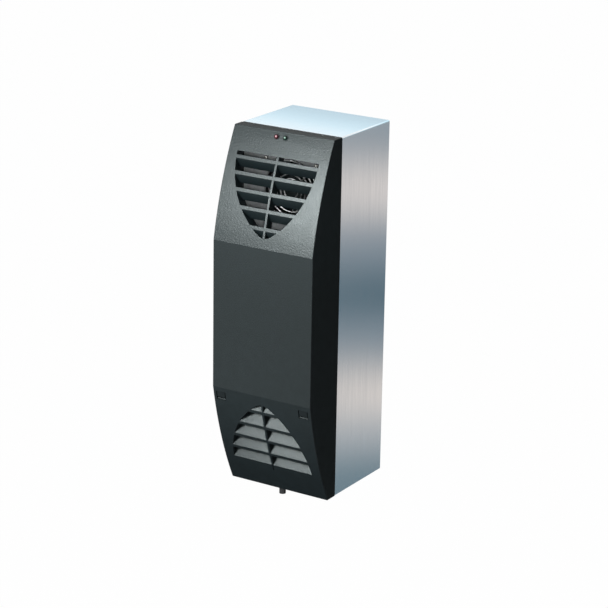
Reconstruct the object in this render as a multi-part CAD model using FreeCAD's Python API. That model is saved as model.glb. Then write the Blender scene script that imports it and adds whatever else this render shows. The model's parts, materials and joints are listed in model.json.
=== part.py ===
import FreeCAD, Part
import math
import os

V = FreeCAD.Vector

# Axes: X to the right, Y to the back, Z up. The rear mounting face lies on y = 0, its centre is the origin.
ALONG_X = V(1, 0, 0)
ALONG_Y = V(0, 1, 0)
ALONG_Z = V(0, 0, 1)
ORIGIN = V(0, 0, 0)

# Overall sizes
WIDTH = 206.0
HEIGHT = 664.0
CASING_DEPTH = 160.0
COVER_DEPTH = 90.0
COVER_END_DEPTH = 25.0
COVER_FLAT_HEIGHT = 272.6

# Sheet metal
SHEET = 1.5
BEND = 2.5
PAN_FLANGE = 12.0

# Plastic mouldings
COVER_WALL = 3.0
COVER_EDGE = 1.2
COVER_GAP = 0.5
SLIDE_CLEARANCE = 0.4
RUNNING_CLEARANCE = 0.05
SEAT_CLEARANCE = 0.1

# Louvred grilles, bars measured from the wide end
GRILLE_SIDE_MARGIN = 19.0
GRILLE_END_MARGIN = 41.0
GRILLE_HEIGHT = 137.0
GRILLE_TIP_RADIUS = 23.0
BAR_OFFSETS = (121.2, 91.1, 62.7, 35.5, 9.5)
BAR_HEIGHT = 5.6
CENTRE_BAR = 4.0
UPPER_BLADE_LENGTH = 18.7
LOWER_BLADE_LENGTH = 22.0
BLADE_THICKNESS = 2.2
BLADE_ANGLE = 65.0
GRILLE_DEPTH = 18.0
COLLAR_WALL = 2.0
BAR_END_GROOVE = 2.0

# Indicator lamps
LAMP_TOP_MARGIN = 9.5
RED_LAMP_X = -12.0
GREEN_LAMP_X = 6.0
LAMP_RADIUS = 4.0
LAMP_STAND = 1.0
BEZEL_RADIUS = 4.9
BEZEL_RIM = 0.6
BEZEL_DEPTH = 5.0
LAMP_BOARD_DEPTH = 8.0
LAMP_BOARD_THICKNESS = 1.6
LAMP_BOARD_MARGIN = 9.0
LAMP_BOARD_HEIGHT = 9.0

# Cover hinge
HINGE_INSET = 4.0
HINGE_PIN_RADIUS = 2.5
HINGE_PIN_LENGTH = 10.0
HINGE_PIN_TIP = 2.0
HINGE_BRACKET_WIDTH = 4.0
HINGE_BRACKET_NOSE = 5.5
HINGE_BRACKET_ARM = 5.5
HINGE_BRACKET_DROP = 12.0
HINGE_BRACKET_LIP = 0.5
HINGE_CRADLE_BACK = 2.2

# Release tabs
TAB_SIDE_MARGIN = 16.0
TAB_FOLD_MARGIN = 8.7
TAB_WIDTH = 20.0
TAB_HEIGHT = 16.0
TAB_RECESS = 0.3
TAB_LENGTH = 28.0
TAB_TRAVEL = 4.0
TAB_GRIP_HEIGHT = 4.8
TAB_GRIP_DEPTH = 4.5
TAB_LIP_HEIGHT = 2.6
TAB_LIP_ANGLE = 71.5
TAB_REBATE = 1.2
LATCH_WALL = 2.0
LATCH_MOUTH = 7.2

# Condensate stub
STUB_RADIUS = 6.0
STUB_BORE = 4.3
STUB_STAND = 14.0
STUB_DROP = 13.0
STUB_RISE = 16.0
STUB_BEND = 8.0
STUB_SHOULDER = 6.6
STUB_STOP_GAP = 1.0
STUB_NOTCH_GAP = 1.0
STUB_COLLAR_RADIUS = 9.0
STUB_COLLAR = 2.0

# Axial fans
FAN_CORNER = 6.0
FAN_DEPTH = 38.0
FAN_BORE = 56.0
FAN_FLANGE = 4.0
FAN_DUCT_WALL = 2.5
FAN_HOLE_SPACING = 104.5
FAN_HOLE_MARGIN = 7.25
FAN_SCREW_RADIUS = 2.0
FAN_SCREW_LENGTH = 9.0
SCREW_HEAD = 2.2
FAN_HUB_RADIUS = 30.0
FAN_HUB_FRONT = 6.0
FAN_HUB_BACK = 33.0
FAN_HUB_WALL = 3.0
FAN_MOTOR_RADIUS = 20.0
FAN_MOTOR_FRONT = 12.0
FAN_MOTOR_PLATE = 3.0
FAN_STRUT = 6.0
FAN_BLADES = 7
FAN_BLADE_CHORD = 28.0
FAN_BLADE_CAMBER = 4.0
FAN_BLADE_THICKNESS = 1.8
FAN_BLADE_PITCH = 35.0
FAN_TIP_GAP = 1.5
FAN_TOP_MARGIN = 111.0
GUARD_WIRE = 2.4
GUARD_RINGS = (18.0, 30.0, 42.0, 54.0)
GUARD_EYE = 4.5
SHAFT_RADIUS = 3.0
SHAFT_LENGTH = 26.0

# Coils
TUBE_RADIUS = 4.5
TURN_CLEARANCE = 1.0
FIN_PITCH = 5.0
FIN_THICKNESS = 1.6
FIN_COLLAR_WALL = 2.0
COIL_SIDE_MARGIN = 33.0
COIL_LEAD = 5.0
CONDENSER_DEPTH = 30.0
CONDENSER_BOTTOM_MARGIN = 36.0
CONDENSER_TOP_MARGIN = 7.5
CONDENSER_PASSES = 6
COIL_WINDOW_MARGIN = 4.0
EVAPORATOR_DEPTH = 60.0
EVAPORATOR_PASSES = 4
EVAPORATOR_DROP = 146.0
EVAPORATOR_REAR_GAP = 20.0

# Partition between the two air circuits
PARTITION_Y = -87.0
PARTITION_FLOOR = -58.5
PASSAGE_CLEARANCE = 1.0

# Compressor
COMPRESSOR_X = -8.0
COMPRESSOR_Y = -64.0
COMPRESSOR_RADIUS = 50.0
COMPRESSOR_DOME = 18.0
COMPRESSOR_HEIGHT = 175.0
COMPRESSOR_FEET_X = 48.0
COMPRESSOR_FEET_Y = 36.0
FOOT_MARGIN = 11.0
GROMMET_HEIGHT = 12.5
GROMMET_RADIUS = 9.0
GROMMET_NECK = 4.5
FOOT_BOLT_RADIUS = 3.0
FOOT_WASHER_RADIUS = 8.0
FOOT_WASHER = 1.5
FOOT_HEAD_RADIUS = 5.0
FOOT_HEAD = 5.5
BASE_THICKNESS = 3.0
TERMINAL_CAP = 26.0
TERMINAL_CAP_HEIGHT = 16.0
TERMINAL_CAP_OFFSET = 17.0
TERMINAL_CAP_EDGE = 3.0
ACCUMULATOR_SIDE_MARGIN = 39.0
ACCUMULATOR_RADIUS = 20.0
ACCUMULATOR_LIFT = 45.0
ACCUMULATOR_HEIGHT = 120.0
ACCUMULATOR_SHOULDER = 14.0
ACCUMULATOR_COLLAR = 6.0
ACCUMULATOR_ELBOW = 18.0

# Refrigerant pipes
DISCHARGE_RADIUS = 4.0
DISCHARGE_OFFSET = 12.0
SUCTION_RADIUS = 5.0
SUCTION_TURN = 40.0
LIQUID_RADIUS = 3.2
CAPILLARY_RADIUS = 1.5
CAPILLARY_DROP = 35.0
PIPE_BEND = 10.0
PIPE_COIL_GAP = 16.0
SIDE_RUN_MARGIN = 15.0
DRIER_Y = -99.0
DRIER_RADIUS = 10.0
DRIER_LIFT = 62.0
DRIER_LENGTH = 90.0
DRIER_CONE = 12.0

# Drip tray and drain pipe
TRAY_LEFT_MARGIN = 9.0
TRAY_RIGHT_MARGIN = 25.0
TRAY_HEIGHT = 20.0
TRAY_WALL = 2.0
SPOUT_SIDE_MARGIN = 19.0
SPOUT_Y = -60.0
SPOUT_DROP = 14.0
DRAIN_Y = -126.0
DRAIN_BEND = 16.0

# Control box behind the flat middle of the cover
BOX_SIDE_GAP = 4.0
BOX_FRONT_GAP = 12.0
BOX_FAN_MARGIN = 93.0
BOX_SHEET = 1.2
BOX_SCREW_INSET = 8.0
BOX_SCREW_RADIUS = 2.0
BOX_SCREW_LENGTH = 8.0
BOX_BOSS = 7.0
BOX_BOSS_DEPTH = 12.0
BOX_HOLE_DEPTH = 10.0
BOARD_SIDE_MARGIN = 26.0
BOARD_TOP_MARGIN = 18.0
BOARD_HEIGHT = 140.0
BOARD_THICKNESS = 1.6
BOARD_POST_RADIUS = 3.5
BOARD_POST_HEIGHT = 10.0
BOARD_POST_INSET = 8.0
TRANSFORMER = (40.0, 34.0, 45.0)
RELAY = (18.0, 16.0, 30.0)
RELAY_PITCH = 28.0
PLUG_ROW_DEPTH = 12.0
PLUG_ROW_HEIGHT = 12.0
BOARD_PART_MARGIN = 15.0
CAPACITOR_RADIUS = 20.0
CAPACITOR_LENGTH = 60.0
CAPACITOR_SIDE_MARGIN = 16.0
CAPACITOR_SADDLE = 16.0
TERMINALS = 5
TERMINAL_PITCH = 13.0
TERMINAL_BAY = 9.0
TERMINAL_DEPTH = 22.0
TERMINAL_HEIGHT = 28.0
WIRING_RISE = 47.6

# Rear side
INSERT_SIDE_MARGIN = 25.0
INSERT_END_MARGIN = 27.0
INSERT_BORE = 3.0
INSERT_RADIUS = 5.0
INSERT_SHOULDER = 2.0
INSERT_LENGTH = 12.0
GASKET_INSET = 4.0
GASKET_WIDTH = 11.0
GASKET_THICKNESS = 3.0
OUTLET_SLOTS = 5
OUTLET_SLOT_HEIGHT = 5.0
OUTLET_SLOT_PITCH = 10.0
OUTLET_RISE = 31.5
SOCKET_SIDE_MARGIN = 43.0
SOCKET_DROP = 41.5
SOCKET_HALF_X = 20.0
SOCKET_HALF_Z = 11.0
SOCKET_DEPTH = 16.0
SOCKET_WALL = 4.0
SOCKET_RECESS = 11.0
SOCKET_FLANGE = 2.0

# Positions across and along the casing
HALF_W = WIDTH / 2
TOP = HEIGHT / 2
FRONT = -CASING_DEPTH
INNER_X = HALF_W - SHEET
INNER_Z = TOP - SHEET
SIDE_RUN_X = HALF_W - SIDE_RUN_MARGIN
BULKHEAD_FACE = FRONT + 1.0
BULKHEAD_BACK = BULKHEAD_FACE + SHEET
REAR_FAN_FRONT = -SHEET - GUARD_WIRE
FAN_HEIGHT = TOP - FAN_TOP_MARGIN
FAN_SIZE = FAN_HOLE_SPACING + 2 * FAN_HOLE_MARGIN

# Cover outline: two arcs about one axis at mid height, with a flat between their folds
RIM = FRONT - COVER_GAP
COVER_FACE = FRONT - COVER_DEPTH
COVER_END = FRONT - COVER_END_DEPTH
COVER_RISE = COVER_DEPTH - COVER_END_DEPTH
FOLD = COVER_FLAT_HEIGHT / 2
ARC_DEPTH = (TOP ** 2 - FOLD ** 2 - COVER_RISE ** 2) / (2 * COVER_RISE)
ARC_CENTRE = COVER_END + ARC_DEPTH
COVER_RADIUS = math.hypot(ARC_DEPTH, TOP)
HINGE_Y = RIM - HINGE_INSET
HINGE_Z = TOP - HINGE_INSET
LAMP_HEIGHT = TOP - LAMP_TOP_MARGIN
GRILLE_HALF_WIDTH = HALF_W - GRILLE_SIDE_MARGIN
GRILLE_END = TOP - GRILLE_END_MARGIN
GRILLE_TIP = GRILLE_END - GRILLE_HEIGHT
BAR_CENTRES = [GRILLE_END - offset for offset in BAR_OFFSETS]


def front_y(z):
    """Depth of the cover's outer face at a height on one of its curves."""
    return ARC_CENTRE - math.sqrt(COVER_RADIUS ** 2 - z ** 2)


# Release tabs and the box between them and the fan
TAB_CENTRE_X = HALF_W - TAB_SIDE_MARGIN
TAB_TOP = -FOLD - TAB_FOLD_MARGIN
TAB_BOTTOM = TAB_TOP - TAB_HEIGHT
TAB_FACE = front_y(TAB_BOTTOM) + TAB_RECESS
BOX_HALF_WIDTH = HALF_W - COVER_WALL - BOX_SIDE_GAP
BOX_BOTTOM = TAB_TOP + SLIDE_CLEARANCE + LATCH_WALL
BOX_TOP = FAN_HEIGHT - BOX_FAN_MARGIN
BOX_FRONT = COVER_FACE + BOX_FRONT_GAP
BOX_BACK = BULKHEAD_FACE - BOX_SHEET
BOARD_HALF_WIDTH = BOX_HALF_WIDTH - BOARD_SIDE_MARGIN
BOARD_TOP = BOX_TOP - BOARD_TOP_MARGIN
BOARD_BOTTOM = BOARD_TOP - BOARD_HEIGHT
WIRING_LEVEL = BOX_BOTTOM + WIRING_RISE
CAPACITOR_X = BOX_HALF_WIDTH - CAPACITOR_SIDE_MARGIN - CAPACITOR_LENGTH

# Cooling circuit
COIL_HALF_WIDTH = HALF_W - COIL_SIDE_MARGIN
COIL_END = COIL_HALF_WIDTH + SHEET + COIL_LEAD
CONDENSER_BOTTOM = CONDENSER_BOTTOM_MARGIN - TOP
CONDENSER_TOP = PARTITION_FLOOR - CONDENSER_TOP_MARGIN
CONDENSER_Y = BULKHEAD_BACK + CONDENSER_DEPTH / 2
CONDENSER_Z = (CONDENSER_BOTTOM + CONDENSER_TOP) / 2
CONDENSER_HEIGHT = CONDENSER_TOP - CONDENSER_BOTTOM
EVAPORATOR_LEVEL = FAN_HEIGHT - EVAPORATOR_DROP
EVAPORATOR_HEIGHT = -PARTITION_Y - EVAPORATOR_REAR_GAP
EVAPORATOR_Y = PARTITION_Y + EVAPORATOR_HEIGHT / 2
CAPILLARY_PASSAGE = EVAPORATOR_LEVEL - CAPILLARY_DROP
BASE_LOW = -INNER_Z + GROMMET_HEIGHT
SHELL_LOW = BASE_LOW + BASE_THICKNESS
COMPRESSOR_TOP = SHELL_LOW + COMPRESSOR_HEIGHT
ACCUMULATOR_X = HALF_W - ACCUMULATOR_SIDE_MARGIN
ACCUMULATOR_BOTTOM = SHELL_LOW + ACCUMULATOR_LIFT
ACCUMULATOR_TOP = ACCUMULATOR_BOTTOM + ACCUMULATOR_HEIGHT

# Water drain and rear side
SPOUT_X = SPOUT_SIDE_MARGIN - HALF_W
STUB_Y = FRONT - STUB_STAND
STUB_LEVEL = STUB_RISE - TOP
STUB_BACK = DRAIN_Y - 1.5 * DRAIN_BEND
INSERT_HALF_X = HALF_W - INSERT_SIDE_MARGIN
INSERT_HALF_Z = TOP - INSERT_END_MARGIN
OUTLET_BOTTOM = PARTITION_FLOOR + OUTLET_RISE
SOCKET_X = SOCKET_SIDE_MARGIN - HALF_W
SOCKET_Z = PARTITION_FLOOR - SOCKET_DROP


def pass_offset(height, passes):
    """Distance of the outermost tube from the middle of a coil."""
    return height / passes * (passes - 1) / 2


CONDENSER_INLET_Z = CONDENSER_Z + pass_offset(CONDENSER_HEIGHT, CONDENSER_PASSES)
CONDENSER_OUTLET_Z = CONDENSER_Z - pass_offset(CONDENSER_HEIGHT, CONDENSER_PASSES)
EVAPORATOR_INLET_Y = EVAPORATOR_Y - pass_offset(EVAPORATOR_HEIGHT, EVAPORATOR_PASSES)
EVAPORATOR_OUTLET_Y = EVAPORATOR_Y + pass_offset(EVAPORATOR_HEIGHT, EVAPORATOR_PASSES)
DRIER_BOTTOM = CONDENSER_OUTLET_Z + DRIER_LIFT
DRIER_TOP = DRIER_BOTTOM + DRIER_LENGTH


def block(x, y, z):
    """Box between pairs of limits."""
    return Part.makeBox(x[1] - x[0], y[1] - y[0], z[1] - z[0], V(x[0], y[0], z[0]))


def rounded_block(half_x, half_z, radius, y):
    """Box centred on the Y axis, its four long edges rounded."""
    shape = block((-half_x, half_x), y, (-half_z, half_z))
    edges = [edge for edge in shape.Edges if abs(edge.tangentAt(edge.FirstParameter).y) > 0.9]
    return shape.makeFillet(radius, edges)


def rod(start, direction, radius, length):
    return Part.makeCylinder(radius, length, start, direction)


def tube(start, direction, outer, inner, length):
    return rod(start, direction, outer, length).cut(rod(start, direction, inner, length))


def turned(profile, position):
    """Solid of revolution about a vertical axis, the profile being (radius, height) pairs."""
    points = [V(radius, 0, height) for radius, height in profile]
    face = Part.Face(Part.makePolygon(points + points[:1]))
    solid = face.revolve(ORIGIN, ALONG_Z, 360)
    solid.translate(position)
    return solid


def mirrored_pair(shape):
    return Part.makeCompound([shape, shape.mirror(ORIGIN, ALONG_X)])


def pipe_path(points, bend):
    """Straight runs joined by round bends."""
    edges = []
    start = points[0]
    for before, corner, after in zip(points, points[1:], points[2:]):
        inward = (corner - before).normalize()
        outward = (after - corner).normalize()
        half_turn = inward.getAngle(outward) / 2
        setback = bend * math.tan(half_turn)
        arc_start = corner - inward * setback
        arc_end = corner + outward * setback
        to_centre = (outward - inward).normalize()
        arc_middle = corner + to_centre * (bend / math.cos(half_turn) - bend)
        if (arc_start - start).Length > 1e-6:
            edges.append(Part.makeLine(start, arc_start))
        edges.append(Part.Arc(arc_start, arc_middle, arc_end).toShape())
        start = arc_end
    edges.append(Part.makeLine(start, points[-1]))
    return Part.Wire(edges)


def pipe(points, radius, bend):
    ring = Part.Wire(Part.makeCircle(radius, points[0], points[1] - points[0]))
    return pipe_path(points, bend).makePipeShell([ring], True, False)


def cover_body(inset):
    """Side profile of the cover, drawn in by the inset and extended across its width."""
    radius = COVER_RADIUS - inset
    top = TOP - inset
    face = COVER_FACE + inset
    fold = math.sqrt(radius ** 2 - (ARC_CENTRE - face) ** 2)
    half_way = (top + fold) / 2

    def on_arc(z):
        return V(inset - HALF_W, ARC_CENTRE - math.sqrt(radius ** 2 - z ** 2), z)

    def straight(y, z):
        return V(inset - HALF_W, y, z)

    edges = [
        Part.makeLine(straight(RIM, top), straight(RIM, -top)),
        Part.makeLine(straight(RIM, -top), on_arc(-top)),
        Part.Arc(on_arc(-top), on_arc(-half_way), on_arc(-fold)).toShape(),
        Part.makeLine(on_arc(-fold), on_arc(fold)),
        Part.Arc(on_arc(fold), on_arc(half_way), on_arc(top)).toShape(),
        Part.makeLine(on_arc(top), straight(RIM, top)),
    ]
    return Part.Face(Part.Wire(edges)).extrude(V(WIDTH - 2 * inset, 0, 0))


def cover_shell():
    """Open-backed moulding with rounded outer edges and a round rear top edge over the hinge."""
    outer = cover_body(0)
    edges = [edge for edge in outer.Edges if max(abs(v.Y - RIM) for v in edge.Vertexes) > COVER_EDGE]
    outer = outer.makeFillet(COVER_EDGE, edges)
    corner = block((-HALF_W, HALF_W), (HINGE_Y, RIM + 1), (HINGE_Z, TOP + 1))
    knuckle = rod(V(-HALF_W, HINGE_Y, HINGE_Z), ALONG_X, HINGE_INSET, WIDTH)
    return outer.cut(corner.cut(knuckle)).cut(cover_body(COVER_WALL))


def grille_prism(grow):
    """Shield-shaped grille outline, widened all round and extended front to back."""
    half_width = GRILLE_HALF_WIDTH + grow
    tip_z = GRILLE_TIP + GRILLE_TIP_RADIUS
    fall = GRILLE_END - tip_z
    spread = GRILLE_HALF_WIDTH - GRILLE_TIP_RADIUS
    side_x = (spread ** 2 - fall ** 2) / (2 * spread)
    side_radius = half_width - side_x
    angle = math.atan2(-fall, -side_x)

    def at(x, z):
        return V(x, COVER_FACE - 10, z)

    def on_side(turn):
        return side_x + side_radius * math.cos(turn), GRILLE_END + side_radius * math.sin(turn)

    join_x, join_z = on_side(angle)
    side_mid_x, side_mid_z = on_side(angle / 2)
    low_z = GRILLE_TIP - grow
    end = GRILLE_END + grow
    edges = [
        Part.makeLine(at(-half_width, end), at(half_width, end)),
        Part.Arc(at(half_width, GRILLE_END), at(side_mid_x, side_mid_z), at(join_x, join_z)).toShape(),
        Part.Arc(at(join_x, join_z), at(0, low_z), at(-join_x, join_z)).toShape(),
        Part.Arc(at(-join_x, join_z), at(-side_mid_x, side_mid_z), at(-half_width, GRILLE_END)).toShape(),
    ]
    if grow > 0:
        edges.insert(1, Part.makeLine(at(half_width, end), at(half_width, GRILLE_END)))
        edges.append(Part.makeLine(at(-half_width, GRILLE_END), at(-half_width, end)))
    return Part.Face(Part.Wire(edges)).extrude(V(0, COVER_DEPTH, 0))


def grille_rows():
    """Lower and upper height of each slot, from the tip to the wide end."""
    lows = [GRILLE_TIP - 1] + [centre + BAR_HEIGHT / 2 for centre in BAR_CENTRES]
    highs = [centre - BAR_HEIGHT / 2 for centre in BAR_CENTRES] + [GRILLE_END]
    return list(zip(lows, highs))


def grille_slots(rows):
    """Air slots of the upper grille, split by the centre bar."""
    across = GRILLE_HALF_WIDTH + 1
    y = (COVER_FACE - 5, RIM - 1)
    strips = []
    for low, high in rows:
        strips.append(block((CENTRE_BAR / 2, across), y, (low, high)))
        strips.append(block((-across, -CENTRE_BAR / 2), y, (low, high)))
    return grille_prism(0).common(Part.makeCompound(strips))


def grille_frame():
    """Collar round the outline and centre bar, both as deep as the grille."""
    start = V(-HALF_W, ARC_CENTRE, 0)
    skin = rod(start, ALONG_X, COVER_RADIUS, WIDTH)
    depth = skin.cut(rod(start, ALONG_X, COVER_RADIUS - GRILLE_DEPTH, WIDTH))
    under_skin = rod(start, ALONG_X, COVER_RADIUS - COVER_WALL / 2, WIDTH)
    collar = grille_prism(COLLAR_WALL).cut(grille_prism(0)).common(depth).common(under_skin)
    half_bar = CENTRE_BAR / 2
    bar = block((-half_bar, half_bar), (COVER_FACE, RIM), (GRILLE_TIP, GRILLE_END)).common(depth)
    return [collar, bar]


def louvre_blade(z, length):
    """Blade hanging inward and down from the upper edge of a slot."""
    angle = math.radians(BLADE_ANGLE)
    along = V(0, math.cos(angle), -math.sin(angle)) * length
    through = V(0, math.sin(angle), math.cos(angle)) * BLADE_THICKNESS
    root = V(-HALF_W, front_y(z), z)
    corners = [root, root + along, root + along + through, root + through, root]
    plate = Part.Face(Part.makePolygon(corners)).extrude(V(WIDTH, 0, 0))
    return plate.common(grille_prism(COLLAR_WALL / 2))


def lamp_axis_placed(shape, x):
    """Moves a piece drawn along Y to the lamp row, square to the curved face."""
    tilt = math.degrees(math.asin(LAMP_HEIGHT / COVER_RADIUS))
    shape.rotate(ORIGIN, ALONG_X, -tilt)
    shape.translate(V(x, front_y(LAMP_HEIGHT), LAMP_HEIGHT))
    return shape


def tab_window(side):
    half = TAB_WIDTH / 2
    centre = side * TAB_CENTRE_X
    return block((centre - half, centre + half), (COVER_FACE - 1, BOX_FRONT), (TAB_BOTTOM, TAB_TOP))


def stub_notch():
    """Notch in the bottom wall, open to the back, in which the condensate stub stands."""
    half = STUB_SHOULDER + STUB_NOTCH_GAP
    low = -TOP - 1
    height = COVER_WALL + 2
    slot = block((-half, half), (STUB_Y, RIM + 1), (low, low + height))
    return slot.fuse(rod(V(0, STUB_Y, low), ALONG_Z, half, height))


def bar_end_groove():
    """Short groove that carries the line of the centre bar on below the lower grille."""
    half = CENTRE_BAR / 4
    low = BAR_CENTRES[-1] - BAR_HEIGHT / 2
    path = block((-half, half), (COVER_FACE, RIM), (-GRILLE_END, -low))
    return path.cut(rod(V(-HALF_W, ARC_CENTRE, 0), ALONG_X, COVER_RADIUS - BAR_END_GROOVE, WIDTH))


def front_cover():
    rows = grille_rows()
    inner_rows = rows[:-1]
    frame = grille_frame()
    upper = frame + [louvre_blade(high, UPPER_BLADE_LENGTH) for low, high in inner_rows]
    lower = frame + [louvre_blade(high, LOWER_BLADE_LENGTH) for low, high in inner_rows]
    upper_slots = grille_slots(rows)
    lower_slots = grille_slots(inner_rows).mirror(ORIGIN, ALONG_Z)
    cover = cover_shell().cut(upper_slots).cut(lower_slots)
    cover = cover.fuse(upper + [piece.mirror(ORIGIN, ALONG_Z) for piece in lower])
    for side in (-1, 1):
        pin_start = V(side * (HALF_W - COVER_WALL / 2), HINGE_Y, HINGE_Z)
        pin_length = HINGE_PIN_LENGTH + COVER_WALL / 2
        cover = cover.fuse(rod(pin_start, ALONG_X * -side, HINGE_PIN_RADIUS, pin_length))
        cover = cover.cut(tab_window(side))
    for x in (RED_LAMP_X, GREEN_LAMP_X):
        hole = rod(V(0, -COVER_WALL, 0), ALONG_Y, BEZEL_RADIUS + RUNNING_CLEARANCE, 4 * COVER_WALL)
        cover = cover.cut(lamp_axis_placed(hole, x))
    return cover.cut([stub_notch(), bar_end_groove()]).removeSplitter()


def lamp(x):
    """Domed indicator lamp reaching back to its board."""
    body = rod(V(0, -LAMP_STAND, 0), ALONG_Y, LAMP_RADIUS, LAMP_BOARD_DEPTH + LAMP_STAND)
    dome = Part.makeSphere(LAMP_RADIUS, V(0, -LAMP_STAND, 0))
    return lamp_axis_placed(body.fuse(dome).removeSplitter(), x)


def lamp_bezels():
    bezels = []
    for x in (RED_LAMP_X, GREEN_LAMP_X):
        sleeve = rod(V(0, -BEZEL_RIM, 0), ALONG_Y, BEZEL_RADIUS, BEZEL_RIM + BEZEL_DEPTH)
        rim = rod(V(0, -BEZEL_RIM, 0), ALONG_Y, BEZEL_RADIUS + BEZEL_RIM, BEZEL_RIM - RUNNING_CLEARANCE)
        bore = rod(V(0, -1, 0), ALONG_Y, LAMP_RADIUS + RUNNING_CLEARANCE, BEZEL_DEPTH + 2)
        bezels.append(lamp_axis_placed(sleeve.fuse(rim).cut(bore), x))
    return Part.makeCompound(bezels)


def lamp_board():
    half_height = LAMP_BOARD_HEIGHT / 2
    depth = (LAMP_BOARD_DEPTH, LAMP_BOARD_DEPTH + LAMP_BOARD_THICKNESS)
    x = (RED_LAMP_X - LAMP_BOARD_MARGIN, GREEN_LAMP_X + LAMP_BOARD_MARGIN)
    board = block(x, depth, (-half_height, half_height))
    return lamp_axis_placed(board, 0)


def hinge_brackets():
    """Open cradles that carry the hinge pins from below and in front."""
    seat = HINGE_PIN_RADIUS + RUNNING_CLEARANCE
    back = BULKHEAD_FACE - HINGE_Y
    nose = -HINGE_BRACKET_NOSE
    x = HALF_W - COVER_WALL - HINGE_PIN_LENGTH + HINGE_PIN_TIP

    def at(y, z):
        return V(x, HINGE_Y + y, HINGE_Z + z)

    outline = [
        at(0, -seat),
        at(HINGE_CRADLE_BACK, -seat),
        at(HINGE_CRADLE_BACK, -HINGE_BRACKET_ARM),
        at(back, -HINGE_BRACKET_ARM),
        at(back, -HINGE_BRACKET_DROP),
        at(nose, -HINGE_BRACKET_DROP),
        at(nose, HINGE_BRACKET_LIP),
        at(-seat, HINGE_BRACKET_LIP),
        at(-seat, 0),
    ]
    edges = [Part.makeLine(a, b) for a, b in zip(outline, outline[1:])]
    slant = seat * math.sqrt(0.5)
    edges.append(Part.Arc(outline[-1], at(-slant, -slant), outline[0]).toShape())
    return mirrored_pair(Part.Face(Part.Wire(edges)).extrude(V(HINGE_BRACKET_WIDTH, 0, 0)))


def release_tab(side):
    """Press tab curved like the cover, rebated down its sides, with a finger grip and lip at its foot."""
    half = TAB_WIDTH / 2 - SLIDE_CLEARANCE
    centre = side * TAB_CENTRE_X
    low = TAB_BOTTOM + SLIDE_CLEARANCE
    high = TAB_TOP - SLIDE_CLEARANCE
    body = block((centre - half, centre + half), (COVER_FACE, TAB_FACE + TAB_LENGTH), (low, high))
    body = body.common(rod(V(-HALF_W, ARC_CENTRE, 0), ALONG_X, COVER_RADIUS - TAB_RECESS, WIDTH))
    swing_relief = block(
        (centre - half, centre + half),
        (COVER_FACE, TAB_FACE + LATCH_MOUTH),
        (low, low + SLIDE_CLEARANCE),
    )
    grip_top = low + TAB_GRIP_HEIGHT
    grip_back = TAB_FACE + TAB_GRIP_DEPTH
    lip_top = low + TAB_LIP_HEIGHT
    lip_back = TAB_FACE + TAB_LIP_HEIGHT / math.tan(math.radians(TAB_LIP_ANGLE))
    outline = [
        V(centre - half, COVER_FACE, low),
        V(centre - half, TAB_FACE, low),
        V(centre - half, lip_back, lip_top),
        V(centre - half, grip_back, lip_top),
        V(centre - half, grip_back, grip_top),
        V(centre - half, COVER_FACE, grip_top),
    ]
    grip = Part.Face(Part.makePolygon(outline + outline[:1])).extrude(V(2 * half, 0, 0))
    rebates = []
    for edge in (-half, half - TAB_REBATE):
        x = (centre + edge, centre + edge + TAB_REBATE)
        rebates.append(block(x, (COVER_FACE, grip_back), (low, high)))
    return body.cut([swing_relief, grip] + rebates)


def latch_housings():
    """Guides under the control box in which the release tabs slide."""
    half = TAB_WIDTH / 2 + LATCH_WALL
    mouth = TAB_FACE + LATCH_MOUTH
    floor = TAB_FACE + TAB_LENGTH + TAB_TRAVEL + SLIDE_CLEARANCE
    outer = block(
        (TAB_CENTRE_X - half, TAB_CENTRE_X + half),
        (mouth, floor + LATCH_WALL),
        (TAB_BOTTOM - LATCH_WALL, BOX_BOTTOM),
    )
    inner_half = TAB_WIDTH / 2
    inner = block(
        (TAB_CENTRE_X - inner_half, TAB_CENTRE_X + inner_half),
        (mouth, floor),
        (TAB_BOTTOM, TAB_TOP),
    )
    return mirrored_pair(outer.cut(inner))


def casing_wrap():
    """Sheet folded round the top, bottom and both sides."""
    y = (FRONT, 0)
    return rounded_block(HALF_W, TOP, BEND, y).cut(rounded_block(INNER_X, INNER_Z, BEND - SHEET, y))


def sheet_pan(face, edge):
    """Flat sheet inside the casing with folded edges, from its outer face to the edge of its flanges."""
    low, high = sorted((face, edge))
    pan = rounded_block(INNER_X, INNER_Z, BEND - SHEET, (low, high))
    hollow_face = face + math.copysign(SHEET, edge - face)
    low, high = sorted((hollow_face, edge))
    return pan.cut(block((SHEET - INNER_X, INNER_X - SHEET), (low, high), (SHEET - INNER_Z, INNER_Z - SHEET)))


def fan_corners(height):
    """Screw positions of a fan at a given height."""
    half = FAN_HOLE_SPACING / 2
    return [(x, height + z) for x in (-half, half) for z in (-half, half)]


def insert_positions():
    return [(x, z) for x in (-INSERT_HALF_X, INSERT_HALF_X) for z in (-INSERT_HALF_Z, INSERT_HALF_Z)]


def socket_block(grow, y):
    """Upright block round the socket's middle, wider or narrower than its body."""
    half_x = SOCKET_HALF_X + grow
    half_z = SOCKET_HALF_Z + grow
    return block((SOCKET_X - half_x, SOCKET_X + half_x), y, (SOCKET_Z - half_z, SOCKET_Z + half_z))


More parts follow.
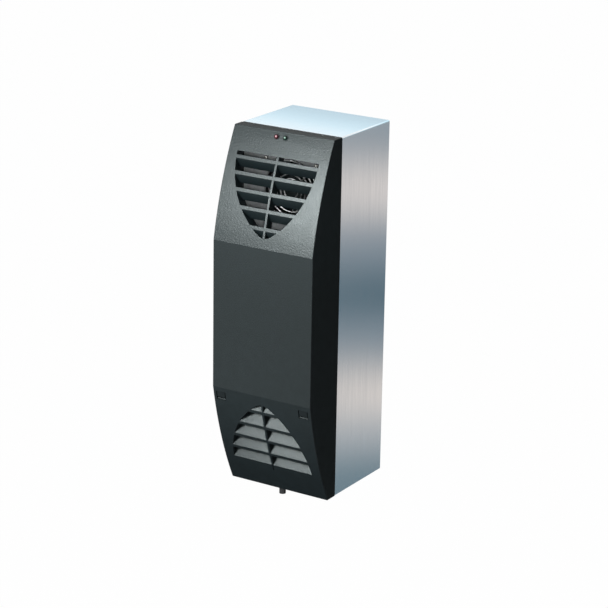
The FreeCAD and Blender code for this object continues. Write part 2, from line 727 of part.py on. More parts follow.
def rear_panel():
    """Back of the unit with the air intake, the air outlet slots and the insert holes."""
    panel = sheet_pan(0, -PAN_FLANGE)
    holes = [rod(V(0, -PAN_FLANGE, FAN_HEIGHT), ALONG_Y, FAN_BORE, PAN_FLANGE + 1)]
    for x, z in fan_corners(FAN_HEIGHT):
        holes.append(rod(V(x, -PAN_FLANGE, z), ALONG_Y, FAN_SCREW_RADIUS + SEAT_CLEARANCE, PAN_FLANGE + 1))
    for x, z in insert_positions():
        holes.append(rod(V(x, -PAN_FLANGE, z), ALONG_Y, INSERT_RADIUS, PAN_FLANGE + 1))
    for slot in range(OUTLET_SLOTS):
        low = OUTLET_BOTTOM + slot * OUTLET_SLOT_PITCH
        x = (-COIL_HALF_WIDTH, COIL_HALF_WIDTH)
        holes.append(block(x, (-SHEET - 1, 1), (low, low + OUTLET_SLOT_HEIGHT)))
    holes.append(socket_block(SEAT_CLEARANCE, (-PAN_FLANGE, 1)))
    return panel.cut(holes)


def rear_gasket():
    outer_x = HALF_W - GASKET_INSET
    outer_z = TOP - GASKET_INSET
    y = (0, GASKET_THICKNESS)
    frame = rounded_block(outer_x, outer_z, BEND, y)
    hole = rounded_block(outer_x - GASKET_WIDTH, outer_z - GASKET_WIDTH, BEND, y)
    return frame.cut(hole)


def mounting_inserts():
    """Threaded inserts flush with the rear face, each with a shoulder inside the panel."""
    inserts = []
    for x, z in insert_positions():
        body = rod(V(x, -INSERT_LENGTH, z), ALONG_Y, INSERT_RADIUS, INSERT_LENGTH)
        shoulder = rod(V(x, -2 * SHEET, z), ALONG_Y, INSERT_RADIUS + INSERT_SHOULDER, SHEET)
        bore = rod(V(x, -INSERT_LENGTH, z), ALONG_Y, INSERT_BORE, INSERT_LENGTH)
        inserts.append(body.fuse(shoulder).cut(bore))
    return Part.makeCompound(inserts)


def front_bulkhead():
    """Fan plate behind the cover with the fan opening, the coil window and the drain hole."""
    plate = sheet_pan(BULKHEAD_FACE, BULKHEAD_FACE + PAN_FLANGE)
    window_x = COIL_HALF_WIDTH - COIL_WINDOW_MARGIN
    window_z = (CONDENSER_BOTTOM + COIL_WINDOW_MARGIN, CONDENSER_TOP - COIL_WINDOW_MARGIN)
    y = BULKHEAD_FACE
    holes = [
        rod(V(0, y, FAN_HEIGHT), ALONG_Y, FAN_BORE, SHEET),
        block((-window_x, window_x), (y, BULKHEAD_BACK), window_z),
        rod(V(0, y, STUB_LEVEL), ALONG_Y, STUB_RADIUS + SEAT_CLEARANCE, SHEET),
    ]
    for x, z in fan_corners(FAN_HEIGHT):
        holes.append(rod(V(x, y, z), ALONG_Y, FAN_SCREW_RADIUS + SEAT_CLEARANCE, SHEET))
    return plate.cut(holes)


def partition_plate():
    """Upright sheet and floor that close off the evaporator space."""
    low = PARTITION_FLOOR - SHEET
    upright = block((-INNER_X, INNER_X), (PARTITION_Y - SHEET, PARTITION_Y), (low, INNER_Z - BEND))
    floor_x = INNER_X - SHEET
    floor = block((-floor_x, floor_x), (PARTITION_Y, -SHEET), (low, PARTITION_FLOOR))
    y = PARTITION_Y - SHEET
    holes = [
        rod(V(SIDE_RUN_X, y, CAPILLARY_PASSAGE), ALONG_Y, CAPILLARY_RADIUS + PASSAGE_CLEARANCE, SHEET),
        rod(V(SIDE_RUN_X, EVAPORATOR_OUTLET_Y, low), ALONG_Z, SUCTION_RADIUS + PASSAGE_CLEARANCE, SHEET),
        rod(V(SPOUT_X, SPOUT_Y, low), ALONG_Z, STUB_RADIUS + SEAT_CLEARANCE, SHEET),
    ]
    return upright.fuse(floor).cut(holes).removeSplitter()


def fan_frame():
    """Square fan housing: two flanges, the air duct, and the motor held by four struts at the back."""
    half = FAN_SIZE / 2
    back = FAN_DEPTH - FAN_MOTOR_PLATE
    flanges = [
        rounded_block(half, half, FAN_CORNER, (0, FAN_FLANGE)),
        rounded_block(half, half, FAN_CORNER, (FAN_DEPTH - FAN_FLANGE, FAN_DEPTH)),
    ]
    duct = rod(ORIGIN, ALONG_Y, FAN_BORE + FAN_DUCT_WALL, FAN_DEPTH)
    frame = duct.fuse(flanges).cut(rod(ORIGIN, ALONG_Y, FAN_BORE, FAN_DEPTH))
    reach = FAN_BORE + FAN_DUCT_WALL / 2
    strut = block((-reach, reach), (back, FAN_DEPTH), (-FAN_STRUT / 2, FAN_STRUT / 2))
    cross = strut.copy()
    cross.rotate(ORIGIN, ALONG_Y, 90)
    motor = rod(V(0, FAN_MOTOR_FRONT, 0), ALONG_Y, FAN_MOTOR_RADIUS, back - FAN_MOTOR_FRONT)
    motor_disc = rod(V(0, back, 0), ALONG_Y, FAN_HUB_RADIUS, FAN_MOTOR_PLATE)
    frame = frame.fuse([strut, cross, motor, motor_disc])
    bearing = rod(V(0, FAN_MOTOR_FRONT, 0), ALONG_Y, SHAFT_RADIUS + RUNNING_CLEARANCE, back - FAN_MOTOR_FRONT)
    hole_radius = FAN_SCREW_RADIUS + SEAT_CLEARANCE
    holes = [rod(V(x, 0, z), ALONG_Y, hole_radius, FAN_DEPTH) for x, z in fan_corners(0)]
    return frame.cut(holes + [bearing]).removeSplitter()


def fan_blade():
    """Cambered blade, pitched across the duct and trimmed to run between hub and duct wall."""
    half_chord = FAN_BLADE_CHORD / 2
    tip = FAN_BORE - FAN_TIP_GAP

    def at(x, y):
        return V(x, y, 0)

    camber = FAN_BLADE_CAMBER
    under = -FAN_BLADE_THICKNESS
    outline = [
        Part.Arc(at(-half_chord, 0), at(0, camber), at(half_chord, 0)).toShape(),
        Part.makeLine(at(half_chord, 0), at(half_chord, under)),
        Part.Arc(at(half_chord, under), at(0, camber + under), at(-half_chord, under)).toShape(),
        Part.makeLine(at(-half_chord, under), at(-half_chord, 0)),
    ]
    blade = Part.Face(Part.Wire(outline)).extrude(V(0, 0, tip + half_chord))
    blade.rotate(ORIGIN, ALONG_Z, FAN_BLADE_PITCH)
    blade.translate(V(0, (FAN_HUB_FRONT + FAN_HUB_BACK) / 2, 0))
    return blade.common(tube(ORIGIN, ALONG_Y, tip, FAN_HUB_RADIUS - FAN_HUB_WALL / 2, FAN_DEPTH))


def fan_rotor():
    """Cup-shaped hub on its shaft with a ring of blades."""
    hub = rod(V(0, FAN_HUB_FRONT, 0), ALONG_Y, FAN_HUB_RADIUS, FAN_HUB_BACK - FAN_HUB_FRONT)
    floor = FAN_HUB_FRONT + FAN_HUB_WALL
    hollow = rod(V(0, floor, 0), ALONG_Y, FAN_HUB_RADIUS - FAN_HUB_WALL, FAN_HUB_BACK - floor)
    shaft = rod(V(0, FAN_HUB_FRONT, 0), ALONG_Y, SHAFT_RADIUS, SHAFT_LENGTH)
    hub = hub.cut(hollow).fuse(shaft)
    blade = fan_blade()
    blades = []
    for number in range(FAN_BLADES):
        copy = blade.copy()
        copy.rotate(ORIGIN, ALONG_Y, number * 360 / FAN_BLADES)
        blades.append(copy)
    return hub.fuse(blades).removeSplitter()


def fan_guard():
    """Rings joined by diagonal arms that end in screw eyes."""
    half_wire = GUARD_WIRE / 2
    rings = []
    for radius in GUARD_RINGS:
        rings.append(tube(ORIGIN, ALONG_Y, radius + half_wire, radius - half_wire, GUARD_WIRE))
    reach = FAN_HOLE_SPACING / 2 * math.sqrt(2)
    arm = block((GUARD_RINGS[0], reach), (0, GUARD_WIRE), (-half_wire, half_wire))
    eye = rod(V(reach, 0, 0), ALONG_Y, GUARD_EYE, GUARD_WIRE)
    hole = rod(V(reach, 0, 0), ALONG_Y, FAN_SCREW_RADIUS + SEAT_CLEARANCE, GUARD_WIRE)
    arm = arm.fuse(eye).cut(hole)
    arms = []
    for quarter in range(4):
        copy = arm.copy()
        copy.rotate(ORIGIN, ALONG_Y, 45 + 90 * quarter)
        arms.append(copy)
    return rings[0].fuse(rings[1:] + arms).removeSplitter()


def screw(start, direction, radius, length):
    """Round-headed screw, its head standing on the start point."""
    head = rod(start, direction * -1, 2 * radius, SCREW_HEAD)
    return rod(start, direction, radius, length).fuse(head)


def fan_screws(head_face, direction):
    corners = fan_corners(FAN_HEIGHT)
    screws = [screw(V(x, head_face, z), direction, FAN_SCREW_RADIUS, FAN_SCREW_LENGTH) for x, z in corners]
    return Part.makeCompound(screws)


def at_front(shape, y):
    """Condenser fan place: the piece faces forward."""
    shape.translate(V(0, y, FAN_HEIGHT))
    return shape


def at_rear(shape, y):
    """Evaporator fan place: the piece faces back."""
    shape.rotate(ORIGIN, ALONG_Z, 180)
    shape.translate(V(0, y, FAN_HEIGHT))
    return shape


def coil_tubes(height, passes):
    """Serpentine tube, starting and ending on the right."""
    spacing = height / passes
    bend = spacing / 2
    turn_x = COIL_HALF_WIDTH + SHEET + TURN_CLEARANCE + bend
    z = pass_offset(height, passes)
    points = [V(COIL_END, 0, z)]
    side = -1
    for number in range(passes - 1):
        points.append(V(side * turn_x, 0, z))
        z -= spacing
        points.append(V(side * turn_x, 0, z))
        side = -side
    points.append(V(COIL_END, 0, z))
    return pipe(points, TUBE_RADIUS, bend)


def tube_holes(height, passes):
    spacing = height / passes
    top = pass_offset(height, passes)
    reach = COIL_HALF_WIDTH + 2 * SHEET
    radius = TUBE_RADIUS + RUNNING_CLEARANCE
    return [rod(V(-reach, 0, top - n * spacing), ALONG_X, radius, 2 * reach) for n in range(passes)]


def coil_fins(depth, height, passes):
    """Fin stack: flat fins kept apart by the square collars that sit on each tube run."""
    half = COIL_HALF_WIDTH
    count = int((2 * half - FIN_THICKNESS) / FIN_PITCH) + 1
    first = -(FIN_PITCH * (count - 1) + FIN_THICKNESS) / 2
    fins = []
    for number in range(count):
        left = first + number * FIN_PITCH
        fins.append(block((left, left + FIN_THICKNESS), (-depth / 2, depth / 2), (-height / 2, height / 2)))
    collar = TUBE_RADIUS + FIN_COLLAR_WALL
    spacing = height / passes
    top = pass_offset(height, passes)
    collars = []
    for number in range(passes):
        z = top - number * spacing
        collars.append(block((-half, half), (-collar, collar), (z - collar, z + collar)))
    return fins[0].fuse(fins[1:] + collars).cut(tube_holes(height, passes)).removeSplitter()


def coil_end_plates(depth, height, passes):
    x = (COIL_HALF_WIDTH, COIL_HALF_WIDTH + SHEET)
    plate = block(x, (-depth / 2, depth / 2), (-height / 2, height / 2))
    return mirrored_pair(plate.cut(tube_holes(height, passes)))


def at_condenser(shape):
    shape.translate(V(0, CONDENSER_Y, CONDENSER_Z))
    return shape


def at_evaporator(shape):
    """The evaporator lies flat, its air passing downward."""
    shape.rotate(ORIGIN, ALONG_X, 90)
    shape.translate(V(0, EVAPORATOR_Y, EVAPORATOR_LEVEL))
    return shape


def compressor_feet():
    xs = (COMPRESSOR_X - COMPRESSOR_FEET_X, COMPRESSOR_X + COMPRESSOR_FEET_X)
    ys = (COMPRESSOR_Y - COMPRESSOR_FEET_Y, COMPRESSOR_Y + COMPRESSOR_FEET_Y)
    return [(x, y) for x in xs for y in ys]


def compressor_shell():
    """Sealed steel can with domed ends."""
    start = V(COMPRESSOR_X, COMPRESSOR_Y, SHELL_LOW)
    can = rod(start, ALONG_Z, COMPRESSOR_RADIUS, COMPRESSOR_TOP - SHELL_LOW)
    rims = [edge for edge in can.Edges if edge.Closed]
    return can.makeFillet(COMPRESSOR_DOME, rims)


def compressor_base():
    half_x = COMPRESSOR_FEET_X + FOOT_MARGIN
    half_y = COMPRESSOR_FEET_Y + FOOT_MARGIN
    x = (COMPRESSOR_X - half_x, COMPRESSOR_X + half_x)
    y = (COMPRESSOR_Y - half_y, COMPRESSOR_Y + half_y)
    plate = block(x, y, (BASE_LOW, SHELL_LOW))
    corners = [edge for edge in plate.Edges if abs(edge.tangentAt(edge.FirstParameter).z) > 0.9]
    plate = plate.makeFillet(FOOT_MARGIN, corners)
    feet = compressor_feet()
    return plate.cut([rod(V(x, y, BASE_LOW), ALONG_Z, GROMMET_NECK, BASE_THICKNESS) for x, y in feet])


def compressor_grommets():
    """Rubber feet with a neck through the base plate."""
    bore_radius = FOOT_BOLT_RADIUS + SEAT_CLEARANCE
    grommets = []
    for x, y in compressor_feet():
        foot = rod(V(x, y, -INNER_Z), ALONG_Z, GROMMET_RADIUS, GROMMET_HEIGHT)
        neck = rod(V(x, y, BASE_LOW), ALONG_Z, GROMMET_NECK, BASE_THICKNESS)
        bore = rod(V(x, y, -INNER_Z), ALONG_Z, bore_radius, GROMMET_HEIGHT + BASE_THICKNESS)
        grommets.append(foot.fuse(neck).cut(bore))
    return Part.makeCompound(grommets)


def compressor_bolts():
    """Bolts standing on the casing floor, each with a washer and a head above the base plate."""
    bolts = []
    for x, y in compressor_feet():
        shank = rod(V(x, y, -INNER_Z), ALONG_Z, FOOT_BOLT_RADIUS, SHELL_LOW + INNER_Z)
        washer = rod(V(x, y, SHELL_LOW), ALONG_Z, FOOT_WASHER_RADIUS, FOOT_WASHER)
        head = rod(V(x, y, SHELL_LOW), ALONG_Z, FOOT_HEAD_RADIUS, FOOT_HEAD)
        bolts.append(shank.fuse([washer, head]))
    return Part.makeCompound(bolts)


def terminal_cover():
    """Cap over the terminals on top of the compressor."""
    centre = COMPRESSOR_X + TERMINAL_CAP_OFFSET
    half = TERMINAL_CAP / 2
    z = (COMPRESSOR_TOP, COMPRESSOR_TOP + TERMINAL_CAP_HEIGHT)
    cap = block((centre - half, centre + half), (COMPRESSOR_Y - half, COMPRESSOR_Y + half), z)
    edges = [edge for edge in cap.Edges if max(v.Z for v in edge.Vertexes) > COMPRESSOR_TOP]
    return cap.makeFillet(TERMINAL_CAP_EDGE, edges)


def suction_accumulator():
    """Small can beside the compressor, necked at both ends."""
    neck = SUCTION_RADIUS + 1
    low = ACCUMULATOR_COLLAR
    high = ACCUMULATOR_HEIGHT - ACCUMULATOR_COLLAR
    profile = [
        (0, 0),
        (neck, 0),
        (neck, low),
        (ACCUMULATOR_RADIUS, low + ACCUMULATOR_SHOULDER),
        (ACCUMULATOR_RADIUS, high - ACCUMULATOR_SHOULDER),
        (neck, high),
        (neck, ACCUMULATOR_HEIGHT),
        (0, ACCUMULATOR_HEIGHT),
    ]
    return turned(profile, V(ACCUMULATOR_X, EVAPORATOR_OUTLET_Y, ACCUMULATOR_BOTTOM))


def accumulator_pipe():
    """Elbow from the foot of the accumulator to the side of the compressor."""
    top = V(ACCUMULATOR_X, EVAPORATOR_OUTLET_Y, ACCUMULATOR_BOTTOM)
    corner = top - V(0, 0, ACCUMULATOR_ELBOW)
    centre = V(COMPRESSOR_X, COMPRESSOR_Y, corner.z)
    end = centre + (corner - centre).normalize() * (COMPRESSOR_RADIUS + SEAT_CLEARANCE)
    return pipe([top, corner, end], DISCHARGE_RADIUS, PIPE_BEND)


def discharge_pipe():
    x = COMPRESSOR_X - DISCHARGE_OFFSET
    z = CONDENSER_INLET_Z
    behind_coil = CONDENSER_Y + CONDENSER_DEPTH / 2 + PIPE_COIL_GAP
    points = [
        V(x, COMPRESSOR_Y, COMPRESSOR_TOP),
        V(x, COMPRESSOR_Y, z),
        V(x, behind_coil, z),
        V(SIDE_RUN_X, behind_coil, z),
        V(SIDE_RUN_X, CONDENSER_Y, z),
        V(COIL_END, CONDENSER_Y, z),
    ]
    return pipe(points, DISCHARGE_RADIUS, PIPE_BEND)


def liquid_pipe():
    z = CONDENSER_OUTLET_Z
    points = [
        V(COIL_END, CONDENSER_Y, z),
        V(SIDE_RUN_X, CONDENSER_Y, z),
        V(SIDE_RUN_X, DRIER_Y, z),
        V(SIDE_RUN_X, DRIER_Y, DRIER_BOTTOM),
    ]
    return pipe(points, LIQUID_RADIUS, PIPE_BEND)


def filter_drier():
    neck = LIQUID_RADIUS + 1
    profile = [
        (0, 0),
        (neck, 0),
        (DRIER_RADIUS, DRIER_CONE),
        (DRIER_RADIUS, DRIER_LENGTH - DRIER_CONE),
        (neck, DRIER_LENGTH),
        (0, DRIER_LENGTH),
    ]
    return turned(profile, V(SIDE_RUN_X, DRIER_Y, DRIER_BOTTOM))


def capillary_tube():
    points = [
        V(SIDE_RUN_X, DRIER_Y, DRIER_TOP),
        V(SIDE_RUN_X, DRIER_Y, CAPILLARY_PASSAGE),
        V(SIDE_RUN_X, EVAPORATOR_INLET_Y, CAPILLARY_PASSAGE),
        V(SIDE_RUN_X, EVAPORATOR_INLET_Y, EVAPORATOR_LEVEL),
        V(COIL_END, EVAPORATOR_INLET_Y, EVAPORATOR_LEVEL),
    ]
    return pipe(points, CAPILLARY_RADIUS, PIPE_BEND / 2)


def suction_pipe():
    turn = ACCUMULATOR_TOP + SUCTION_TURN
    points = [
        V(COIL_END, EVAPORATOR_OUTLET_Y, EVAPORATOR_LEVEL),
        V(SIDE_RUN_X, EVAPORATOR_OUTLET_Y, EVAPORATOR_LEVEL),
        V(SIDE_RUN_X, EVAPORATOR_OUTLET_Y, turn),
        V(ACCUMULATOR_X, EVAPORATOR_OUTLET_Y, turn),
        V(ACCUMULATOR_X, EVAPORATOR_OUTLET_Y, ACCUMULATOR_TOP),
    ]
    return pipe(points, SUCTION_RADIUS, PIPE_BEND)


def drip_tray():
    """Open tray on the partition floor with a spout through it."""
    low = PARTITION_FLOOR
    x = (TRAY_LEFT_MARGIN - HALF_W, HALF_W - TRAY_RIGHT_MARGIN)
    y = (PARTITION_Y, -PAN_FLANGE)
    outer = block(x, y, (low, low + TRAY_HEIGHT))
    inner = block(
        (x[0] + TRAY_WALL, x[1] - TRAY_WALL),
        (y[0] + TRAY_WALL, y[1] - TRAY_WALL),
        (low + TRAY_WALL, low + TRAY_HEIGHT),
    )
    spout_low = low - SPOUT_DROP
    spout = rod(V(SPOUT_X, SPOUT_Y, spout_low), ALONG_Z, STUB_RADIUS, SPOUT_DROP)
    bore = rod(V(SPOUT_X, SPOUT_Y, spout_low), ALONG_Z, STUB_BORE, SPOUT_DROP + TRAY_WALL)
    return outer.cut(inner).fuse(spout).cut(bore)


def drain_pipe():
    """Rigid pipe from the tray's spout down and forward to the stub."""
    points = [
        V(SPOUT_X, SPOUT_Y, PARTITION_FLOOR - SPOUT_DROP),
        V(SPOUT_X, SPOUT_Y, STUB_LEVEL),
        V(SPOUT_X, DRAIN_Y, STUB_LEVEL),
        V(0, DRAIN_Y, STUB_LEVEL),
        V(0, STUB_BACK, STUB_LEVEL),
    ]
    return pipe(points, STUB_RADIUS, DRAIN_BEND)


def drain_stub():
    """Elbow through the fan plate that ends in the open spigot under the cover."""
    points = [V(0, STUB_BACK, STUB_LEVEL), V(0, STUB_Y, STUB_LEVEL), V(0, STUB_Y, -TOP - STUB_DROP)]
    collar = rod(V(0, BULKHEAD_FACE - STUB_COLLAR, STUB_LEVEL), ALONG_Y, STUB_COLLAR_RADIUS, STUB_COLLAR)
    stop = -TOP - STUB_STOP_GAP
    shoulder = rod(V(0, STUB_Y, stop), ALONG_Z, STUB_SHOULDER, STUB_LEVEL - STUB_BEND - stop)
    elbow = pipe(points, STUB_RADIUS, STUB_BEND).fuse([collar, shoulder])
    return elbow.cut(pipe(points, STUB_BORE, STUB_BEND))


def box_corners():
    x = BOX_HALF_WIDTH - BOX_SCREW_INSET
    levels = (BOX_BOTTOM + BOX_SCREW_INSET, BOX_TOP - BOX_SCREW_INSET)
    return [(side * x, z) for side in (-1, 1) for z in levels]


def control_box():
    """Open-fronted sheet box on the fan plate, with a boss behind each lid screw."""
    lid_back = BOX_FRONT + BOX_SHEET
    outer = block((-BOX_HALF_WIDTH, BOX_HALF_WIDTH), (lid_back, BULKHEAD_FACE), (BOX_BOTTOM, BOX_TOP))
    inner_x = BOX_HALF_WIDTH - BOX_SHEET
    inner = block((-inner_x, inner_x), (lid_back, BOX_BACK), (BOX_BOTTOM + BOX_SHEET, BOX_TOP - BOX_SHEET))
    bosses = []
    holes = []
    for x, z in box_corners():
        depth = (lid_back, lid_back + BOX_BOSS_DEPTH)
        bosses.append(block((x - BOX_BOSS, x + BOX_BOSS), depth, (z - BOX_BOSS, z + BOX_BOSS)))
        holes.append(rod(V(x, lid_back, z), ALONG_Y, BOX_SCREW_RADIUS + SEAT_CLEARANCE, BOX_HOLE_DEPTH))
    return outer.cut(inner).fuse(bosses).cut(holes).removeSplitter()


def control_box_lid():
    lid = block((-BOX_HALF_WIDTH, BOX_HALF_WIDTH), (BOX_FRONT, BOX_FRONT + BOX_SHEET), (BOX_BOTTOM, BOX_TOP))
    radius = BOX_SCREW_RADIUS + SEAT_CLEARANCE
    return lid.cut([rod(V(x, BOX_FRONT, z), ALONG_Y, radius, BOX_SHEET) for x, z in box_corners()])


def control_box_screws():
    corners = box_corners()
    screws = [screw(V(x, BOX_FRONT, z), ALONG_Y, BOX_SCREW_RADIUS, BOX_SCREW_LENGTH) for x, z in corners]
    return Part.makeCompound(screws)


def control_board():
    """Circuit board on four posts, with a transformer, two relays and a row of plugs."""
    back = BOX_BACK - BOARD_POST_HEIGHT
    face = back - BOARD_THICKNESS
    post_x = BOARD_HALF_WIDTH - BOARD_POST_INSET
    post_z = (BOARD_BOTTOM + BOARD_POST_INSET, BOARD_TOP - BOARD_POST_INSET)
    posts = [(x, z) for x in (-post_x, post_x) for z in post_z]
    pieces = [rod(V(x, back, z), ALONG_Y, BOARD_POST_RADIUS, BOARD_POST_HEIGHT) for x, z in posts]

    def component(left, top, size):
        width, depth, height = size
        return block((left, left + width), (face - depth, face), (top - height, top))

    part_top = BOARD_TOP - BOARD_PART_MARGIN
    pieces.append(component(BOARD_PART_MARGIN - BOARD_HALF_WIDTH, part_top, TRANSFORMER))
    for number in range(2):
        right = BOARD_HALF_WIDTH - BOARD_PART_MARGIN - number * RELAY_PITCH
        pieces.append(component(right - RELAY[0], part_top, RELAY))
    plug_x = BOARD_PART_MARGIN - BOARD_HALF_WIDTH
    plug_row = (-2 * plug_x, PLUG_ROW_DEPTH, PLUG_ROW_HEIGHT)
    pieces.append(component(plug_x, BOARD_BOTTOM + BOARD_PART_MARGIN + PLUG_ROW_HEIGHT, plug_row))
    board = block((-BOARD_HALF_WIDTH, BOARD_HALF_WIDTH), (face, back), (BOARD_BOTTOM, BOARD_TOP))
    return board.fuse(pieces).removeSplitter()


def run_capacitor():
    """Round can lying on a saddle at the back of the control box."""
    centre_y = BOX_BACK - CAPACITOR_RADIUS
    can = rod(V(CAPACITOR_X, centre_y, WIRING_LEVEL), ALONG_X, CAPACITOR_RADIUS, CAPACITOR_LENGTH)
    margin = CAPACITOR_LENGTH / 6
    saddle_x = (CAPACITOR_X + margin, CAPACITOR_X + CAPACITOR_LENGTH - margin)
    half = CAPACITOR_SADDLE / 2
    saddle = block(saddle_x, (centre_y, BOX_BACK), (WIRING_LEVEL - half, WIRING_LEVEL + half))
    return can.fuse(saddle).removeSplitter()


def terminal_block():
    """Row of screw terminals at the back of the control box."""
    face = BOX_BACK - TERMINAL_DEPTH
    margin = TERMINAL_PITCH - TERMINAL_BAY
    start = -BOARD_HALF_WIDTH
    half = TERMINAL_HEIGHT / 2
    x = (start, start + TERMINALS * TERMINAL_PITCH + margin)
    body = block(x, (face, BOX_BACK), (WIRING_LEVEL - half, WIRING_LEVEL + half))
    bays = []
    for number in range(TERMINALS):
        left = start + margin + number * TERMINAL_PITCH
        z = (WIRING_LEVEL - half / 2, WIRING_LEVEL + half / 2)
        bays.append(block((left, left + TERMINAL_BAY), (face, face + TERMINAL_DEPTH / 2), z))
    return body.cut(bays)


def power_socket():
    """Rear supply socket: flanged body with a recess for the plug."""
    body = socket_block(0, (-SOCKET_DEPTH, 0))
    flange = socket_block(SOCKET_WALL, (0, SOCKET_FLANGE))
    recess = socket_block(-SOCKET_WALL, (-SOCKET_RECESS, SOCKET_FLANGE))
    return body.fuse(flange).cut(recess).removeSplitter()


CONDENSER = (CONDENSER_DEPTH, CONDENSER_HEIGHT, CONDENSER_PASSES)
EVAPORATOR = (EVAPORATOR_DEPTH, EVAPORATOR_HEIGHT, EVAPORATOR_PASSES)

NODES = {
    "casing_wrap": casing_wrap(),
    "rear_panel": rear_panel(),
    "rear_gasket": rear_gasket(),
    "mounting_inserts": mounting_inserts(),
    "front_bulkhead": front_bulkhead(),
    "partition_plate": partition_plate(),
    "front_cover": front_cover(),
    "red_lamp": lamp(RED_LAMP_X),
    "green_lamp": lamp(GREEN_LAMP_X),
    "lamp_bezels": lamp_bezels(),
    "lamp_board": lamp_board(),
    "hinge_brackets": hinge_brackets(),
    "latch_housings": latch_housings(),
    "left_release_tab": release_tab(-1),
    "right_release_tab": release_tab(1),
    "condenser_fan_frame": at_front(fan_frame(), BULKHEAD_BACK),
    "condenser_fan_rotor": at_front(fan_rotor(), BULKHEAD_BACK),
    "condenser_fan_guard": at_front(fan_guard(), BULKHEAD_FACE - GUARD_WIRE),
    "condenser_fan_screws": fan_screws(BULKHEAD_FACE - GUARD_WIRE, ALONG_Y),
    "evaporator_fan_frame": at_rear(fan_frame(), REAR_FAN_FRONT),
    "evaporator_fan_rotor": at_rear(fan_rotor(), REAR_FAN_FRONT),
    "evaporator_fan_guard": at_rear(fan_guard(), -SHEET),
    "evaporator_fan_screws": fan_screws(0, ALONG_Y * -1),
    "condenser_fins": at_condenser(coil_fins(*CONDENSER)),
    "condenser_tubes": at_condenser(coil_tubes(CONDENSER_HEIGHT, CONDENSER_PASSES)),
    "condenser_end_plates": at_condenser(coil_end_plates(*CONDENSER)),
    "evaporator_fins": at_evaporator(coil_fins(*EVAPORATOR)),
    "evaporator_tubes": at_evaporator(coil_tubes(EVAPORATOR_HEIGHT, EVAPORATOR_PASSES)),
    "evaporator_end_plates": at_evaporator(coil_end_plates(*EVAPORATOR)),
    "compressor_shell": compressor_shell(),
    "compressor_base": compressor_base(),
    "compressor_grommets": compressor_grommets(),
    "compressor_bolts": compressor_bolts(),
    "terminal_cover": terminal_cover(),
    "suction_accumulator": suction_accumulator(),
    "accumulator_pipe": accumulator_pipe(),
    "discharge_pipe": discharge_pipe(),
    "liquid_pipe": liquid_pipe(),
    "filter_drier": filter_drier(),
    "capillary_tube": capillary_tube(),
    "suction_pipe": suction_pipe(),
    "drip_tray": drip_tray(),
    "drain_pipe": drain_pipe(),
    "drain_stub": drain_stub(),
    "control_box": control_box(),
    "control_box_lid": control_box_lid(),
    "control_box_screws": control_box_screws(),
    "control_board": control_board(),
    "run_capacitor": run_capacitor(),
    "terminal_block": terminal_block(),
    "power_socket": power_socket(),
}

os.makedirs("parts", exist_ok=True)
for name, shape in NODES.items():
    shape.exportStep(f"parts/{name}.step")
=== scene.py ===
import json
import math

import bmesh
import bpy
from mathutils import Matrix, Vector


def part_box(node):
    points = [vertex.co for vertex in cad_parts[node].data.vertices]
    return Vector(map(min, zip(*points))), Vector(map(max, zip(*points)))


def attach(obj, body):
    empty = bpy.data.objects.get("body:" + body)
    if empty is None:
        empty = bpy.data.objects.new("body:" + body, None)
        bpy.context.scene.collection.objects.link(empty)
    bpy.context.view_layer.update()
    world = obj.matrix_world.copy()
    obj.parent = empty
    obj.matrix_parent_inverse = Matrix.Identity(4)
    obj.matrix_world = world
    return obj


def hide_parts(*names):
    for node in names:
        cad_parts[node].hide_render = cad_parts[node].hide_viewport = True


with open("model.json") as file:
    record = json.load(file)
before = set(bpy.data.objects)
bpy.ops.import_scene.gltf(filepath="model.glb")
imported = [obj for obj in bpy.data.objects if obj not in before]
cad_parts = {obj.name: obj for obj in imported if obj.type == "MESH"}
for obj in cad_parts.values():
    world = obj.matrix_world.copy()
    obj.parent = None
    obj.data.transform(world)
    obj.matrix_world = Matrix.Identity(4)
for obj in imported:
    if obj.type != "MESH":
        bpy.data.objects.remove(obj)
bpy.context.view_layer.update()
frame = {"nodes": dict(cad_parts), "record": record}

nodes = frame["nodes"]
scene = bpy.context.scene
scene.view_settings.view_transform = "Standard"

# Camera at the photograph's place: place in metres, lens and sensor in millimetres
CAMERA_PLACE = (2.06082, -3.39414, 1.24863)
CAMERA_RIGHT = Vector((0.84413, 0.53591, 0.01581))
CAMERA_UP = Vector((-0.17706, 0.25082, 0.9517))
CAMERA_BACK = Vector((0.50606, -0.80616, 0.30661))
CAMERA_LENS = 134.04
SENSOR = 36.0

# Floor, surrounding light and lamps
FLOOR_LEVEL = -1.0
FLOOR_SIZE = 40.0
FLOOR_MATT = 0.9
FLOOR_GLOW = 0.985
WORLD_TINT = (0.93, 0.97, 1.0)
WORLD_STRENGTH = 0.45
SPOT_BLEND = 0.5
SPOT_RADIUS = 0.12
WHITE = (1.0, 1.0, 1.0, 1.0)

# Curved backdrop behind the unit, mirrored in its metal as soft level bands
BACKDROP_RADIUS = 0.75
BACKDROP_FROM = math.radians(-15.0)
BACKDROP_TO = math.radians(195.0)
BACKDROP_STEPS = 48
BACKDROP_SCRIM = 0.06
BACKDROP_BANDS = (
    (-0.95, (0.20, 0.27, 0.33)),
    (-0.62, (0.10, 0.19, 0.24)),
    (-0.53, (0.44, 0.47, 0.50)),
    (-0.44, (0.90, 0.80, 0.74)),
    (-0.31, (0.20, 0.265, 0.32)),
    (-0.21, (0.025, 0.095, 0.14)),
    (-0.10, (0.205, 0.265, 0.32)),
    (0.02, (0.88, 0.79, 0.745)),
    (0.14, (0.255, 0.30, 0.345)),
    (0.30, (0.45, 0.59, 0.65)),
    (0.60, (0.62, 0.78, 0.88)),
)

